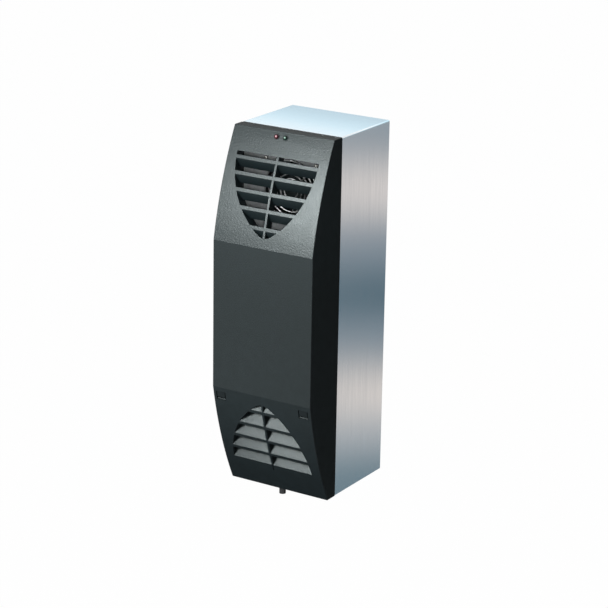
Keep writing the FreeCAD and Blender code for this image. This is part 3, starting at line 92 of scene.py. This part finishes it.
# Card over the casing top and dark flag on the floor, both seen only in reflections
TOP_CARD_LEVEL = 0.40
TOP_CARD_SIDES = (-0.5, 0.3)
TOP_CARD_FAR = 0.6
TOP_BANDS = (
    (0.0, (1.34, 1.32, 1.31)),
    (0.05, (1.29, 1.31, 1.32)),
    (0.108, (0.79, 1.19, 1.38)),
    (0.17, (0.61, 0.76, 0.85)),
)
FLAG_SIZE = (2.2, 2.0)
FLAG_PLACE = (-0.35, -0.6, FLOOR_LEVEL + 0.01)
FLAG_BANDS = (
    (-1.0, (0.56, 0.6, 0.62)),
    (-0.52, (0.5, 0.54, 0.56)),
    (-0.21, (0.35, 0.38, 0.4)),
    (-0.02, (0.25, 0.28, 0.3)),
    (0.13, (0.08, 0.09, 0.1)),
    (1.0, (0.08, 0.09, 0.1)),
)


def colour(red, green, blue):
    return (red, green, blue, 1.0)


# Node helpers

RAMP_FROM = 0.3
RAMP_TO = 0.7
TONE_DETAIL = 3.0
GRAIN_DETAIL = 2.0
NOISE_ROUGHNESS = 0.55


def node_tree(owner):
    """Empty node tree of a material or world."""
    owner.use_nodes = True
    tree = owner.node_tree
    tree.nodes.clear()
    return tree


def link(tree, source, target):
    tree.links.new(source, target)


def noise(tree, scale, stretch, detail):
    """Noise in the object's own metres, stretched along chosen axes."""
    place = tree.nodes.new("ShaderNodeTexCoord")
    spread = tree.nodes.new("ShaderNodeMapping")
    spread.inputs["Scale"].default_value = stretch
    link(tree, place.outputs["Object"], spread.inputs["Vector"])
    texture = tree.nodes.new("ShaderNodeTexNoise")
    texture.inputs["Scale"].default_value = scale
    texture.inputs["Detail"].default_value = detail
    texture.inputs["Roughness"].default_value = NOISE_ROUGHNESS
    link(tree, spread.outputs["Vector"], texture.inputs["Vector"])
    return texture.outputs["Fac"]


def crystals(tree, scale):
    """One value for each crystal of a zinc coat, in the object's own metres."""
    place = tree.nodes.new("ShaderNodeTexCoord")
    cells = tree.nodes.new("ShaderNodeTexVoronoi")
    cells.inputs["Scale"].default_value = scale
    link(tree, place.outputs["Object"], cells.inputs["Vector"])
    parts = tree.nodes.new("ShaderNodeSeparateColor")
    link(tree, cells.outputs["Color"], parts.inputs["Color"])
    return parts.outputs["Red"]


def ranged(tree, value, low, high, from_low=RAMP_FROM, from_high=RAMP_TO):
    """Value carried over from one range to another."""
    fit = tree.nodes.new("ShaderNodeMapRange")
    fit.inputs["From Min"].default_value = from_low
    fit.inputs["From Max"].default_value = from_high
    fit.inputs["To Min"].default_value = low
    fit.inputs["To Max"].default_value = high
    link(tree, value, fit.inputs["Value"])
    return fit.outputs["Result"]


def shaded(tree, value, dark, light):
    """Colour that runs from dark to light with a value."""
    ramp = tree.nodes.new("ShaderNodeValToRGB")
    ramp.color_ramp.elements[0].position = RAMP_FROM
    ramp.color_ramp.elements[0].color = dark
    ramp.color_ramp.elements[1].position = RAMP_TO
    ramp.color_ramp.elements[1].color = light
    link(tree, value, ramp.inputs["Fac"])
    return ramp.outputs["Color"]


def raised(tree, height, strength, distance):
    """Normal of a fine relief."""
    bump = tree.nodes.new("ShaderNodeBump")
    bump.inputs["Strength"].default_value = strength
    bump.inputs["Distance"].default_value = distance
    link(tree, height, bump.inputs["Height"])
    return bump.outputs["Normal"]


def surface(name, dark, light, roughness, tone, grain, metallic=0.0, specular=0.5, sheen_tint=WHITE):
    """Material whose colour and roughness follow one pattern and whose relief follows a finer noise.

    tone is (scale, stretch), or (scale, None) for crystals, grain is (scale, stretch, strength, distance),
    roughness is (low, high).
    """
    material = bpy.data.materials.new(name)
    tree = node_tree(material)
    shader = tree.nodes.new("ShaderNodeBsdfPrincipled")
    shader.inputs["Metallic"].default_value = metallic
    shader.inputs["Specular IOR Level"].default_value = specular
    shader.inputs["Specular Tint"].default_value = sheen_tint
    if tone[1] is None:
        cloud = crystals(tree, tone[0])
    else:
        cloud = noise(tree, tone[0], tone[1], TONE_DETAIL)
    link(tree, shaded(tree, cloud, dark, light), shader.inputs["Base Color"])
    link(tree, ranged(tree, cloud, roughness[1], roughness[0]), shader.inputs["Roughness"])
    relief = noise(tree, grain[0], grain[1], GRAIN_DETAIL)
    link(tree, raised(tree, relief, grain[2], grain[3]), shader.inputs["Normal"])
    output = tree.nodes.new("ShaderNodeOutputMaterial")
    link(tree, shader.outputs["BSDF"], output.inputs["Surface"])
    return material


EVEN = (1.0, 1.0, 1.0)
COVER_SHEEN = colour(0.9, 1.0, 1.0)
UPRIGHT_BRUSH = (1.0, 1.0, 0.02)

FINISHES = {
    "cover_plastic": dict(
        dark=colour(0.0052, 0.009, 0.01), light=colour(0.0076, 0.0122, 0.0136), roughness=(0.31, 0.35),
        tone=(60.0, EVEN), grain=(380.0, EVEN, 1.0, 0.00026), specular=0.4, sheen_tint=COVER_SHEEN),
    "casing_steel": dict(
        dark=colour(0.74, 0.765, 0.78), light=colour(0.79, 0.815, 0.83), roughness=(0.2, 0.25),
        tone=(500.0, UPRIGHT_BRUSH), grain=(2200.0, UPRIGHT_BRUSH, 0.05, 0.0001), metallic=1.0),
    "galvanised_sheet": dict(
        dark=colour(0.67, 0.70, 0.71), light=colour(0.78, 0.81, 0.82), roughness=(0.36, 0.46),
        tone=(150.0, None), grain=(900.0, EVEN, 0.05, 0.0001), metallic=0.25),
    "gasket_rubber": dict(
        dark=colour(0.010, 0.010, 0.011), light=colour(0.022, 0.022, 0.023), roughness=(0.75, 0.9),
        tone=(240.0, EVEN), grain=(1100.0, EVEN, 0.5, 0.0004)),
    "zinc_steel": dict(
        dark=colour(0.50, 0.50, 0.47), light=colour(0.66, 0.66, 0.63), roughness=(0.25, 0.4),
        tone=(180.0, EVEN), grain=(1600.0, EVEN, 0.06, 0.0001), metallic=1.0),
    "black_plastic": dict(
        dark=colour(0.0038, 0.0065, 0.0072), light=colour(0.0062, 0.0098, 0.011), roughness=(0.42, 0.5),
        tone=(90.0, EVEN), grain=(1500.0, EVEN, 0.14, 0.0002), specular=0.28, sheen_tint=COVER_SHEEN),
    "stub_plastic": dict(
        dark=colour(0.012, 0.013, 0.014), light=colour(0.02, 0.021, 0.022), roughness=(0.35, 0.45),
        tone=(120.0, EVEN), grain=(1200.0, EVEN, 0.1, 0.0002)),
    "cast_aluminium": dict(
        dark=colour(0.02, 0.02, 0.021), light=colour(0.035, 0.035, 0.037), roughness=(0.4, 0.55),
        tone=(150.0, EVEN), grain=(800.0, EVEN, 0.3, 0.0003), metallic=0.3),
    "guard_chrome": dict(
        dark=colour(0.64, 0.65, 0.66), light=colour(0.74, 0.75, 0.76), roughness=(0.3, 0.38),
        tone=(200.0, EVEN), grain=(2000.0, EVEN, 0.03, 0.0001), metallic=1.0),
    "fin_aluminium": dict(
        dark=colour(0.62, 0.63, 0.64), light=colour(0.76, 0.77, 0.78), roughness=(0.3, 0.45),
        tone=(160.0, EVEN), grain=(1400.0, EVEN, 0.08, 0.0001), metallic=1.0),
    "copper": dict(
        dark=colour(0.48, 0.22, 0.13), light=colour(0.66, 0.32, 0.2), roughness=(0.28, 0.45),
        tone=(130.0, EVEN), grain=(1500.0, EVEN, 0.05, 0.0001), metallic=1.0),
    "black_paint": dict(
        dark=colour(0.010, 0.010, 0.0105), light=colour(0.016, 0.016, 0.017), roughness=(0.25, 0.4),
        tone=(70.0, EVEN), grain=(700.0, EVEN, 0.12, 0.0002)),
    "board_green": dict(
        dark=colour(0.008, 0.08, 0.035), light=colour(0.012, 0.12, 0.055), roughness=(0.3, 0.4),
        tone=(140.0, EVEN), grain=(1800.0, EVEN, 0.08, 0.0001)),
    "ivory_plastic": dict(
        dark=colour(0.62, 0.58, 0.47), light=colour(0.7, 0.66, 0.55), roughness=(0.4, 0.5),
        tone=(120.0, EVEN), grain=(1500.0, EVEN, 0.1, 0.0002)),
}

materials = {name: surface(name, **finish) for name, finish in FINISHES.items()}

# Domes of the indicator lamps; each lit lens has a pale emission glow on the side turned partway to the
# camera, so the glow is partly the lamp's own light and partly a painted highlight
LAMP_RADIUS = 0.004
GLOW_AND_HIGHLIGHT_SIDE = Vector((0.27, -0.88, 0.39))
LENS_FINISH = dict(
    roughness=(0.15, 0.22), tone=(400.0, EVEN), grain=(900.0, EVEN, 0.04, 0.0001), specular=0.2)
LENS_TRANSMISSION = 0.2


def lens(name, node, dark, light, glow_and_highlight_core, reach):
    """Tinted dome of a lit indicator lamp, with a pale emission glow that is partly the lamp's own light and
    partly a painted highlight, set on the side turned partway to the camera.
    """
    material = surface(name, dark, light, **LENS_FINISH)
    tree = material.node_tree
    shader = next(item for item in tree.nodes if item.type == "BSDF_PRINCIPLED")
    shader.inputs["Transmission Weight"].default_value = LENS_TRANSMISSION
    shader.inputs["Emission Strength"].default_value = 1.0
    low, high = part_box(node)
    ball = Vector(((low.x + high.x) / 2, low.y + LAMP_RADIUS, high.z - LAMP_RADIUS))
    tip = ball + GLOW_AND_HIGHLIGHT_SIDE * LAMP_RADIUS
    place = tree.nodes.new("ShaderNodeTexCoord")
    centred = tree.nodes.new("ShaderNodeMapping")
    centred.inputs["Location"].default_value = -tip / reach
    centred.inputs["Scale"].default_value = (1 / reach, 1 / reach, 1 / reach)
    link(tree, place.outputs["Object"], centred.inputs["Vector"])
    # Pale centre of emission: the lit lamp's glow together with a painted highlight
    round_glow_and_highlight = tree.nodes.new("ShaderNodeTexGradient")
    round_glow_and_highlight.gradient_type = "SPHERICAL"
    link(tree, centred.outputs["Vector"], round_glow_and_highlight.inputs["Vector"])
    glow = shaded(tree, round_glow_and_highlight.outputs["Fac"], colour(0.0, 0.0, 0.0), glow_and_highlight_core)
    link(tree, glow, shader.inputs["Emission Color"])
    return material


materials["red_lens"] = lens(
    "red_lens", "red_lamp", dark=colour(0.055, 0.005, 0.011), light=colour(0.08, 0.007, 0.015),
    glow_and_highlight_core=colour(0.85, 0.56, 0.6), reach=0.0029)
materials["green_lens"] = lens(
    "green_lens", "green_lamp", dark=colour(0.002, 0.018, 0.011), light=colour(0.003, 0.03, 0.018),
    glow_and_highlight_core=colour(0.45, 0.66, 0.57), reach=0.0028)

for part in frame["record"]["subparts"]:
    mesh = nodes[part["node"]].data
    mesh.materials.clear()
    mesh.materials.append(materials[part["material_slot"]])


# Pieces finer than the CAD nodes they stand for

PLANE_NORMAL = Vector((0, 1, 0))
FORWARD = Vector((0, -1, 0))
BACKWARD = Vector((0, 1, 0))

# Screws; the profile is (radius, height) from the crown of the head to the tip
SCREW_HEAD_RADIUS = 0.004
SCREW_PROFILE = (
    (0.0, 0.0022), (0.0014, 0.0022), (0.0028, 0.0019), (0.0036, 0.0013), (0.004, 0.0005), (0.004, 0.0),
    (0.002, 0.0), (0.002, -0.0075), (0.0012, -0.009), (0.0, -0.009),
)
SCREW_STEPS = 32
RECESS_LENGTH = 0.0044
RECESS_WIDTH = 0.0009
RECESS_DEPTH = 0.0013
WELD_DISTANCE = 0.000002

# Wire guards
GUARD_RINGS = (0.014, 0.022, 0.030, 0.038, 0.046, 0.054)
GUARD_WIRE = 0.0012
GUARD_EYE = 0.0033
GUARD_STEPS = 72
EYE_STEPS = 24
WIRE_SIDES = 10

# Fins of the coils
FIN_PITCH = 0.0022
FIN_THICKNESS = 0.0002
FIN_WAVE = 0.0006
FIN_WAVES = 4
FIN_STEPS = 8 * FIN_WAVES

# Pins of the supply socket
SOCKET_RECESS = 0.013
PIN_OFFSETS = (-0.009, 0.0, 0.009)
PIN_LENGTH = 0.009
PIN_HALF_WIDTH = 0.001
PIN_HALF_HEIGHT = 0.003
PIN_BEVEL = 0.0006
PIN_BEVEL_STEPS = 3
ROUND_PROFILE = 0.5

# Sealing strips beside the cover
SEAL_X = 0.1009
SEAL_HALF_WIDTH = 0.0007
SEAL_SPAN = (-0.326, 0.322)
SEAL_STEPS = 8
SEAL_CLEARANCE = 0.00004


def piece_from(build, name, slot, body="casing"):
    """New piece of the object from mesh-building code, finished like a slot of the record."""
    form = bmesh.new()
    build(form)
    bmesh.ops.recalc_face_normals(form, faces=form.faces)
    mesh = bpy.data.meshes.new(name)
    form.to_mesh(mesh)
    form.free()
    mesh.materials.append(materials[slot])
    piece = bpy.data.objects.new(name, mesh)
    scene.collection.objects.link(piece)
    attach(piece, body)
    return piece


def bridge(form, rings, closed):
    """Skin between neighbouring rings of vertices."""
    count = len(rings[0])
    last = len(rings) if closed else len(rings) - 1
    for number in range(last):
        ring = rings[number]
        following = rings[(number + 1) % len(rings)]
        for side in range(count):
            beside = (side + 1) % count
            face = form.faces.new((ring[side], ring[beside], following[beside], following[side]))
            face.smooth = True


def add_wire(form, points, radius, closed):
    """Round wire along points of a plane that faces Y."""
    rings = []
    for number, point in enumerate(points):
        before = points[number - 1] if closed or number > 0 else point
        after = points[(number + 1) % len(points)] if closed or number < len(points) - 1 else point
        across = (after - before).normalized().cross(PLANE_NORMAL)
        ring = []
        for side in range(WIRE_SIDES):
            turn = math.tau * side / WIRE_SIDES
            outward = math.cos(turn) * across + math.sin(turn) * PLANE_NORMAL
            ring.append(form.verts.new(point + radius * outward))
        rings.append(ring)
    bridge(form, rings, closed)
    if not closed:
        form.faces.new(rings[0])
        form.faces.new(rings[-1])


def circle_points(centre, radius, steps):
    turns = [math.tau * step / steps for step in range(steps)]
    return [centre + radius * Vector((math.cos(turn), 0, math.sin(turn))) for turn in turns]


def wire_guard(node):
    """Ring guard of round wire with four diagonal arms that end in screw eyes."""
    low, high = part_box(node)
    centre = (low + high) / 2
    reach = (high.x - low.x) / 2 - GUARD_EYE - GUARD_WIRE

    def build(form):
        for radius in GUARD_RINGS:
            add_wire(form, circle_points(centre, radius, GUARD_STEPS), GUARD_WIRE, True)
        inner = GUARD_RINGS[0] / math.sqrt(2)
        stop = reach - GUARD_EYE / math.sqrt(2)
        for x in (-1, 1):
            for z in (-1, 1):
                diagonal = Vector((x, 0, z))
                add_wire(form, [centre + inner * diagonal, centre + stop * diagonal], GUARD_WIRE, False)
                eye = circle_points(centre + reach * diagonal, GUARD_EYE, EYE_STEPS)
                add_wire(form, eye, GUARD_WIRE, True)

    guard = piece_from(build, node + "_wires", "guard_chrome")
    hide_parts(node)


def add_screw(form, seat, out):
    """Pan-head screw, turned from its profile, with its head standing out from the seat."""
    rings = []
    for radius, height in SCREW_PROFILE[1:-1]:
        points = circle_points(seat + out * height, radius, SCREW_STEPS)
        rings.append([form.verts.new(point) for point in points])
    bridge(form, rings, False)
    for ring, height in ((rings[0], SCREW_PROFILE[0][1]), (rings[-1], SCREW_PROFILE[-1][1])):
        middle = form.verts.new(seat + out * height)
        for number in range(SCREW_STEPS):
            form.faces.new((ring[number], ring[(number + 1) % SCREW_STEPS], middle))


def add_cross(form, seat, out):
    """Two crossed bars that cut the driver recess into a screw head."""
    place = seat + out * SCREW_PROFILE[0][1]
    for length, width in ((RECESS_LENGTH, RECESS_WIDTH), (RECESS_WIDTH, RECESS_LENGTH)):
        bar = bmesh.ops.create_cube(form, size=1.0)["verts"]
        bmesh.ops.scale(form, verts=bar, vec=(length, 2 * RECESS_DEPTH, width))
        bmesh.ops.translate(form, verts=bar, vec=place)


def cross_screws(node, out):
    """Screws at the four corners of a CAD screw node, with driver recesses cut in."""
    low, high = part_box(node)
    head = SCREW_PROFILE[0][1]
    seat_y = high.y - head if out.y > 0 else low.y + head
    seats = []
    for x in (low.x + SCREW_HEAD_RADIUS, high.x - SCREW_HEAD_RADIUS):
        for z in (low.z + SCREW_HEAD_RADIUS, high.z - SCREW_HEAD_RADIUS):
            seats.append(Vector((x, seat_y, z)))

    def build(form):
        for seat in seats:
            add_screw(form, seat, out)

    screws = piece_from(build, node + "_turned", "zinc_steel")
    form = bmesh.new()
    for seat in seats:
        add_cross(form, seat, out)
    tool_mesh = bpy.data.meshes.new("driver")
    form.to_mesh(tool_mesh)
    form.free()
    tool = bpy.data.objects.new("driver", tool_mesh)
    scene.collection.objects.link(tool)
    cut = screws.modifiers.new("recess", "BOOLEAN")
    cut.operation = "DIFFERENCE"
    cut.solver = "EXACT"
    cut.use_self = True
    cut.object = tool
    graph = bpy.context.evaluated_depsgraph_get()
    recessed = bpy.data.meshes.new_from_object(screws.evaluated_get(graph))
    screws.modifiers.clear()
    weld = bmesh.new()
    weld.from_mesh(recessed)
    bmesh.ops.remove_doubles(weld, verts=weld.verts, dist=WELD_DISTANCE)
    weld.to_mesh(recessed)
    weld.free()
    screws.data = recessed
    bpy.data.objects.remove(tool)
    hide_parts(node)


def wavy_fins(node):
    """Stack of thin corrugated fins across the width of a coil."""
    low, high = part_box(node)
    count = int((high.x - low.x) / FIN_PITCH)

    def add_fin(form, x):
        sides = []
        for offset in (-FIN_THICKNESS / 2, FIN_THICKNESS / 2):
            edges = []
            for step in range(FIN_STEPS + 1):
                y = low.y + (high.y - low.y) * step / FIN_STEPS
                wave = FIN_WAVE * math.sin(math.tau * FIN_WAVES * step / FIN_STEPS)
                edges.append([form.verts.new((x + offset + wave, y, z)) for z in (low.z, high.z)])
            sides.append(edges)
        left, right = sides
        loop = left + right[::-1]
        for number in range(len(loop)):
            here = loop[number]
            after = loop[(number + 1) % len(loop)]
            form.faces.new((here[0], after[0], after[1], here[1]))
        for level in (0, 1):
            for step in range(FIN_STEPS):
                corners = (left[step], left[step + 1], right[step + 1], right[step])
                form.faces.new([corner[level] for corner in corners])

    def build(form):
        for number in range(count):
            add_fin(form, low.x + FIN_WAVE + FIN_PITCH * number)

    fins = piece_from(build, node + "_wavy", "fin_aluminium")
    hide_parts(node)


def socket_pins():
    """Three flat contact pins on the floor of the supply socket's recess."""
    low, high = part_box("power_socket")
    centre = (low + high) / 2
    floor_y = high.y - SOCKET_RECESS

    def build(form):
        for offset in PIN_OFFSETS:
            pin = bmesh.ops.create_cube(form, size=1.0)["verts"]
            size = (2 * PIN_HALF_WIDTH, PIN_LENGTH, 2 * PIN_HALF_HEIGHT)
            bmesh.ops.scale(form, verts=pin, vec=size)
            place = (centre.x + offset, floor_y + PIN_LENGTH / 2, centre.z)
            bmesh.ops.translate(form, verts=pin, vec=place)
        middle_y = floor_y + PIN_LENGTH / 2
        tips = [edge for edge in form.edges if all(end.co.y > middle_y for end in edge.verts)]
        bmesh.ops.bevel(
            form, geom=tips, offset=PIN_BEVEL, segments=PIN_BEVEL_STEPS,
            affect="EDGES", profile=ROUND_PROFILE)

    piece_from(build, "socket_pins", "zinc_steel")


def cover_seals():
    """Two thin half-round strips on the fan plate that close the seam beside the cover."""
    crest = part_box("front_cover")[1].y + SEAL_CLEARANCE
    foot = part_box("front_bulkhead")[0].y

    def build(form):
        for side in (-1, 1):
            profile = [(side * SEAL_X - SEAL_HALF_WIDTH, foot)]
            for step in range(SEAL_STEPS + 1):
                turn = math.pi * step / SEAL_STEPS
                x = side * SEAL_X - SEAL_HALF_WIDTH * math.cos(turn)
                profile.append((x, crest + SEAL_HALF_WIDTH * (1 - math.sin(turn))))
            profile.append((side * SEAL_X + SEAL_HALF_WIDTH, foot))
            rings = [[form.verts.new((x, y, z)) for x, y in profile] for z in SEAL_SPAN]
            bridge(form, rings, False)
            for ring in rings:
                form.faces.new(ring)

    piece_from(build, "cover_seals", "gasket_rubber")


for guard_node in ("condenser_fan_guard", "evaporator_fan_guard"):
    wire_guard(guard_node)
cross_screws("condenser_fan_screws", FORWARD)
cross_screws("control_box_screws", FORWARD)
cross_screws("evaporator_fan_screws", BACKWARD)
for fin_node in ("condenser_fins", "evaporator_fins"):
    wavy_fins(fin_node)
socket_pins()
cover_seals()


# Floor, surrounding light, lamps and mirrored cards

def seen_directly(tree):
    """1 for rays from the camera and for mirror and glass rays, otherwise 0."""
    path = tree.nodes.new("ShaderNodeLightPath")
    first = tree.nodes.new("ShaderNodeMath")
    first.operation = "MAXIMUM"
    link(tree, path.outputs["Is Camera Ray"], first.inputs[0])
    link(tree, path.outputs["Is Glossy Ray"], first.inputs[1])
    both = tree.nodes.new("ShaderNodeMath")
    both.operation = "MAXIMUM"
    link(tree, first.outputs[0], both.inputs[0])
    link(tree, path.outputs["Is Transmission Ray"], both.inputs[1])
    return both.outputs[0]


def floor_material():
    """Pale floor that keeps a faint shadow and is clear from below."""
    material = bpy.data.materials.new("floor_white")
    tree = node_tree(material)
    matt = tree.nodes.new("ShaderNodeBsdfDiffuse")
    matt.inputs["Color"].default_value = colour(FLOOR_MATT, FLOOR_MATT, FLOOR_MATT)
    glow = tree.nodes.new("ShaderNodeEmission")
    glow.inputs["Color"].default_value = WHITE
    share = tree.nodes.new("ShaderNodeMath")
    share.operation = "MULTIPLY"
    share.inputs[1].default_value = FLOOR_GLOW
    link(tree, seen_directly(tree), share.inputs[0])
    mix = tree.nodes.new("ShaderNodeMixShader")
    link(tree, share.outputs[0], mix.inputs["Fac"])
    link(tree, matt.outputs["BSDF"], mix.inputs[1])
    link(tree, glow.outputs["Emission"], mix.inputs[2])
    side = tree.nodes.new("ShaderNodeNewGeometry")
    clear = tree.nodes.new("ShaderNodeBsdfTransparent")
    one_way = tree.nodes.new("ShaderNodeMixShader")
    link(tree, side.outputs["Backfacing"], one_way.inputs["Fac"])
    link(tree, mix.outputs["Shader"], one_way.inputs[1])
    link(tree, clear.outputs["BSDF"], one_way.inputs[2])
    output = tree.nodes.new("ShaderNodeOutputMaterial")
    link(tree, one_way.outputs["Shader"], output.inputs["Surface"])
    return material


def sheet_mesh(name, width, height):
    """Flat sheet in its own XY plane."""
    half_x = width / 2
    half_y = height / 2
    mesh = bpy.data.meshes.new(name)
    corners = [(-half_x, -half_y, 0), (half_x, -half_y, 0), (half_x, half_y, 0), (-half_x, half_y, 0)]
    mesh.from_pydata(corners, [], [(0, 1, 2, 3)])
    sheet = bpy.data.objects.new(name, mesh)
    scene.collection.objects.link(sheet)
    return sheet


floor = sheet_mesh("floor", FLOOR_SIZE, FLOOR_SIZE)
floor.location = (0, 0, FLOOR_LEVEL)
floor.data.materials.append(floor_material())


def studio_world():
    """Soft surrounding light that is plain white to the camera and in mirrors."""
    world = bpy.data.worlds.new("studio")
    scene.world = world
    tree = node_tree(world)
    soft = tree.nodes.new("ShaderNodeBackground")
    soft.inputs["Color"].default_value = colour(*WORLD_TINT)
    soft.inputs["Strength"].default_value = WORLD_STRENGTH
    plain = tree.nodes.new("ShaderNodeBackground")
    plain.inputs["Color"].default_value = WHITE
    plain.inputs["Strength"].default_value = 1.0
    either = tree.nodes.new("ShaderNodeMixShader")
    link(tree, seen_directly(tree), either.inputs["Fac"])
    link(tree, soft.outputs["Background"], either.inputs[1])
    link(tree, plain.outputs["Background"], either.inputs[2])
    output = tree.nodes.new("ShaderNodeOutputWorld")
    link(tree, either.outputs["Shader"], output.inputs["Surface"])


studio_world()


def aim(thing, target):
    """Turns a lamp to face a place."""
    direction = Vector(target) - Vector(thing.location)
    thing.rotation_mode = "QUATERNION"
    thing.rotation_quaternion = direction.to_track_quat("-Z", "Y")


def hang(lamp, place, target):
    """Puts a lamp in the room, out of the camera's sight."""
    thing = bpy.data.objects.new(lamp.name, lamp)
    scene.collection.objects.link(thing)
    thing.location = place
    aim(thing, target)
    thing.visible_camera = False
    return thing


def softbox(name, place, target, width, height, power):
    lamp = bpy.data.lights.new(name, "AREA")
    lamp.shape = "RECTANGLE"
    lamp.size = width
    lamp.size_y = height
    lamp.energy = power
    return hang(lamp, place, target)


def soft_spot(name, place, target, cone, power):
    lamp = bpy.data.lights.new(name, "SPOT")
    lamp.spot_size = math.radians(cone)
    lamp.spot_blend = SPOT_BLEND
    lamp.shadow_soft_size = SPOT_RADIUS
    lamp.energy = power
    hang(lamp, place, target)


def shield(lamp, shaded_nodes):
    """Keeps a lamp's light off the pale inner sheets, which would clip to white under an open cover."""
    kept_off = bpy.data.collections.new("shielded_from_" + lamp.name)
    for node in shaded_nodes:
        kept_off.objects.link(nodes[node])
    for row in kept_off.collection_objects:
        row.light_linking.link_state = "EXCLUDE"
    lamp.light_linking.receiver_collection = kept_off


front_softbox = softbox(
    "front_softbox", place=(-0.39, -1.23, 0.565), target=(0.0, -0.2, 0.3), width=0.34, height=0.6, power=18.9)
shield(front_softbox, ("front_bulkhead", "control_box", "control_box_lid"))
soft_spot("lower_grille_spot", place=(-0.55, -1.52, 0.45), target=(0.0, -0.2, -0.24), cone=9.0, power=32.0)
soft_spot("upper_grille_spot", place=(0.81, -1.44, 0.59), target=(0.0, -0.2, 0.23), cone=8.5, power=34.0)
soft_spot("under_spot", place=(0.3, -1.5, -0.6), target=(0.0, -0.2, 0.245), cone=8.0, power=42.0)


def mirrored_only(thing):
    """Keeps a card out of sight and out of the light, so that only reflections show it."""
    thing.visible_camera = False
    thing.visible_diffuse = False
    thing.visible_transmission = False
    thing.visible_volume_scatter = False
    thing.visible_shadow = False


def gradient_material(name, axis, bands, clear_share):
    """Emission that changes along one axis, seen through by a clear share."""
    material = bpy.data.materials.new(name)
    tree = node_tree(material)
    place = tree.nodes.new("ShaderNodeTexCoord")
    parts = tree.nodes.new("ShaderNodeSeparateXYZ")
    link(tree, place.outputs["Object"], parts.inputs["Vector"])
    first = bands[0][0]
    last = bands[-1][0]
    ramp = tree.nodes.new("ShaderNodeValToRGB")
    stops = ramp.color_ramp.elements
    while len(stops) < len(bands):
        stops.new(1.0)
    for stop, (place_along, tint) in zip(stops, bands):
        stop.position = (place_along - first) / (last - first)
        stop.color = colour(*tint)
    ramp.color_ramp.interpolation = "EASE"
    link(tree, ranged(tree, parts.outputs[axis], 0.0, 1.0, first, last), ramp.inputs["Fac"])
    glow = tree.nodes.new("ShaderNodeEmission")
    link(tree, ramp.outputs["Color"], glow.inputs["Color"])
    clear = tree.nodes.new("ShaderNodeBsdfTransparent")
    scrim = tree.nodes.new("ShaderNodeMixShader")
    scrim.inputs["Fac"].default_value = clear_share
    link(tree, glow.outputs["Emission"], scrim.inputs[1])
    link(tree, clear.outputs["BSDF"], scrim.inputs[2])
    output = tree.nodes.new("ShaderNodeOutputMaterial")
    link(tree, scrim.outputs["Shader"], output.inputs["Surface"])
    return material


def mirror_card(name, corners, faces, material, lit_nodes):
    """Card that only the mirror finish of some nodes shows."""
    mesh = bpy.data.meshes.new(name)
    mesh.from_pydata(corners, [], faces)
    mesh.materials.append(material)
    card = bpy.data.objects.new(name, mesh)
    scene.collection.objects.link(card)
    lit = bpy.data.collections.new("lit_by_" + name)
    for node in lit_nodes:
        lit.objects.link(nodes[node])
    card.light_linking.receiver_collection = lit
    mirrored_only(card)


def curved_backdrop():
    """Upright half ring, open to the front, that bands the casing."""
    ring = []
    for step in range(BACKDROP_STEPS + 1):
        turn = BACKDROP_FROM + (BACKDROP_TO - BACKDROP_FROM) * step / BACKDROP_STEPS
        x = BACKDROP_RADIUS * math.cos(turn)
        y = BACKDROP_RADIUS * math.sin(turn)
        ring += [(x, y, BACKDROP_BANDS[0][0]), (x, y, BACKDROP_BANDS[-1][0])]
    faces = [(2 * step, 2 * step + 1, 2 * step + 3, 2 * step + 2) for step in range(BACKDROP_STEPS)]
    bands = gradient_material("backdrop_bands", "Z", BACKDROP_BANDS, BACKDROP_SCRIM)
    mirror_card("backdrop", ring, faces, bands, ("casing_wrap", "rear_panel"))


def top_card():
    """Level card over the casing, paler to the front."""
    near = TOP_BANDS[0][0]
    far = TOP_CARD_FAR
    left, right = TOP_CARD_SIDES
    corners = [(left, near, TOP_CARD_LEVEL), (right, near, TOP_CARD_LEVEL),
               (right, far, TOP_CARD_LEVEL), (left, far, TOP_CARD_LEVEL)]
    bands = gradient_material("top_bands", "Y", TOP_BANDS, BACKDROP_SCRIM)
    mirror_card("top_card", corners, [(0, 1, 2, 3)], bands, ("casing_wrap",))


def floor_flag():
    """Card on the floor in front, darkest near the unit, mirrored in the lower curve of the cover."""
    flag = sheet_mesh("floor_flag", *FLAG_SIZE)
    flag.location = FLAG_PLACE
    flag.data.materials.append(gradient_material("flag_bands", "Y", FLAG_BANDS, clear_share=0.0))
    mirrored_only(flag)


top_card()
curved_backdrop()
floor_flag()


# Camera

camera_data = bpy.data.cameras.new("photo_camera")
camera_data.lens = CAMERA_LENS
camera_data.sensor_width = SENSOR
camera_data.sensor_fit = "HORIZONTAL"
camera = bpy.data.objects.new("photo_camera", camera_data)
scene.collection.objects.link(camera)
axes = Matrix((CAMERA_RIGHT, CAMERA_UP, CAMERA_BACK)).transposed()
camera.matrix_world = Matrix.Translation(CAMERA_PLACE) @ axes.to_4x4()
scene.camera = camera
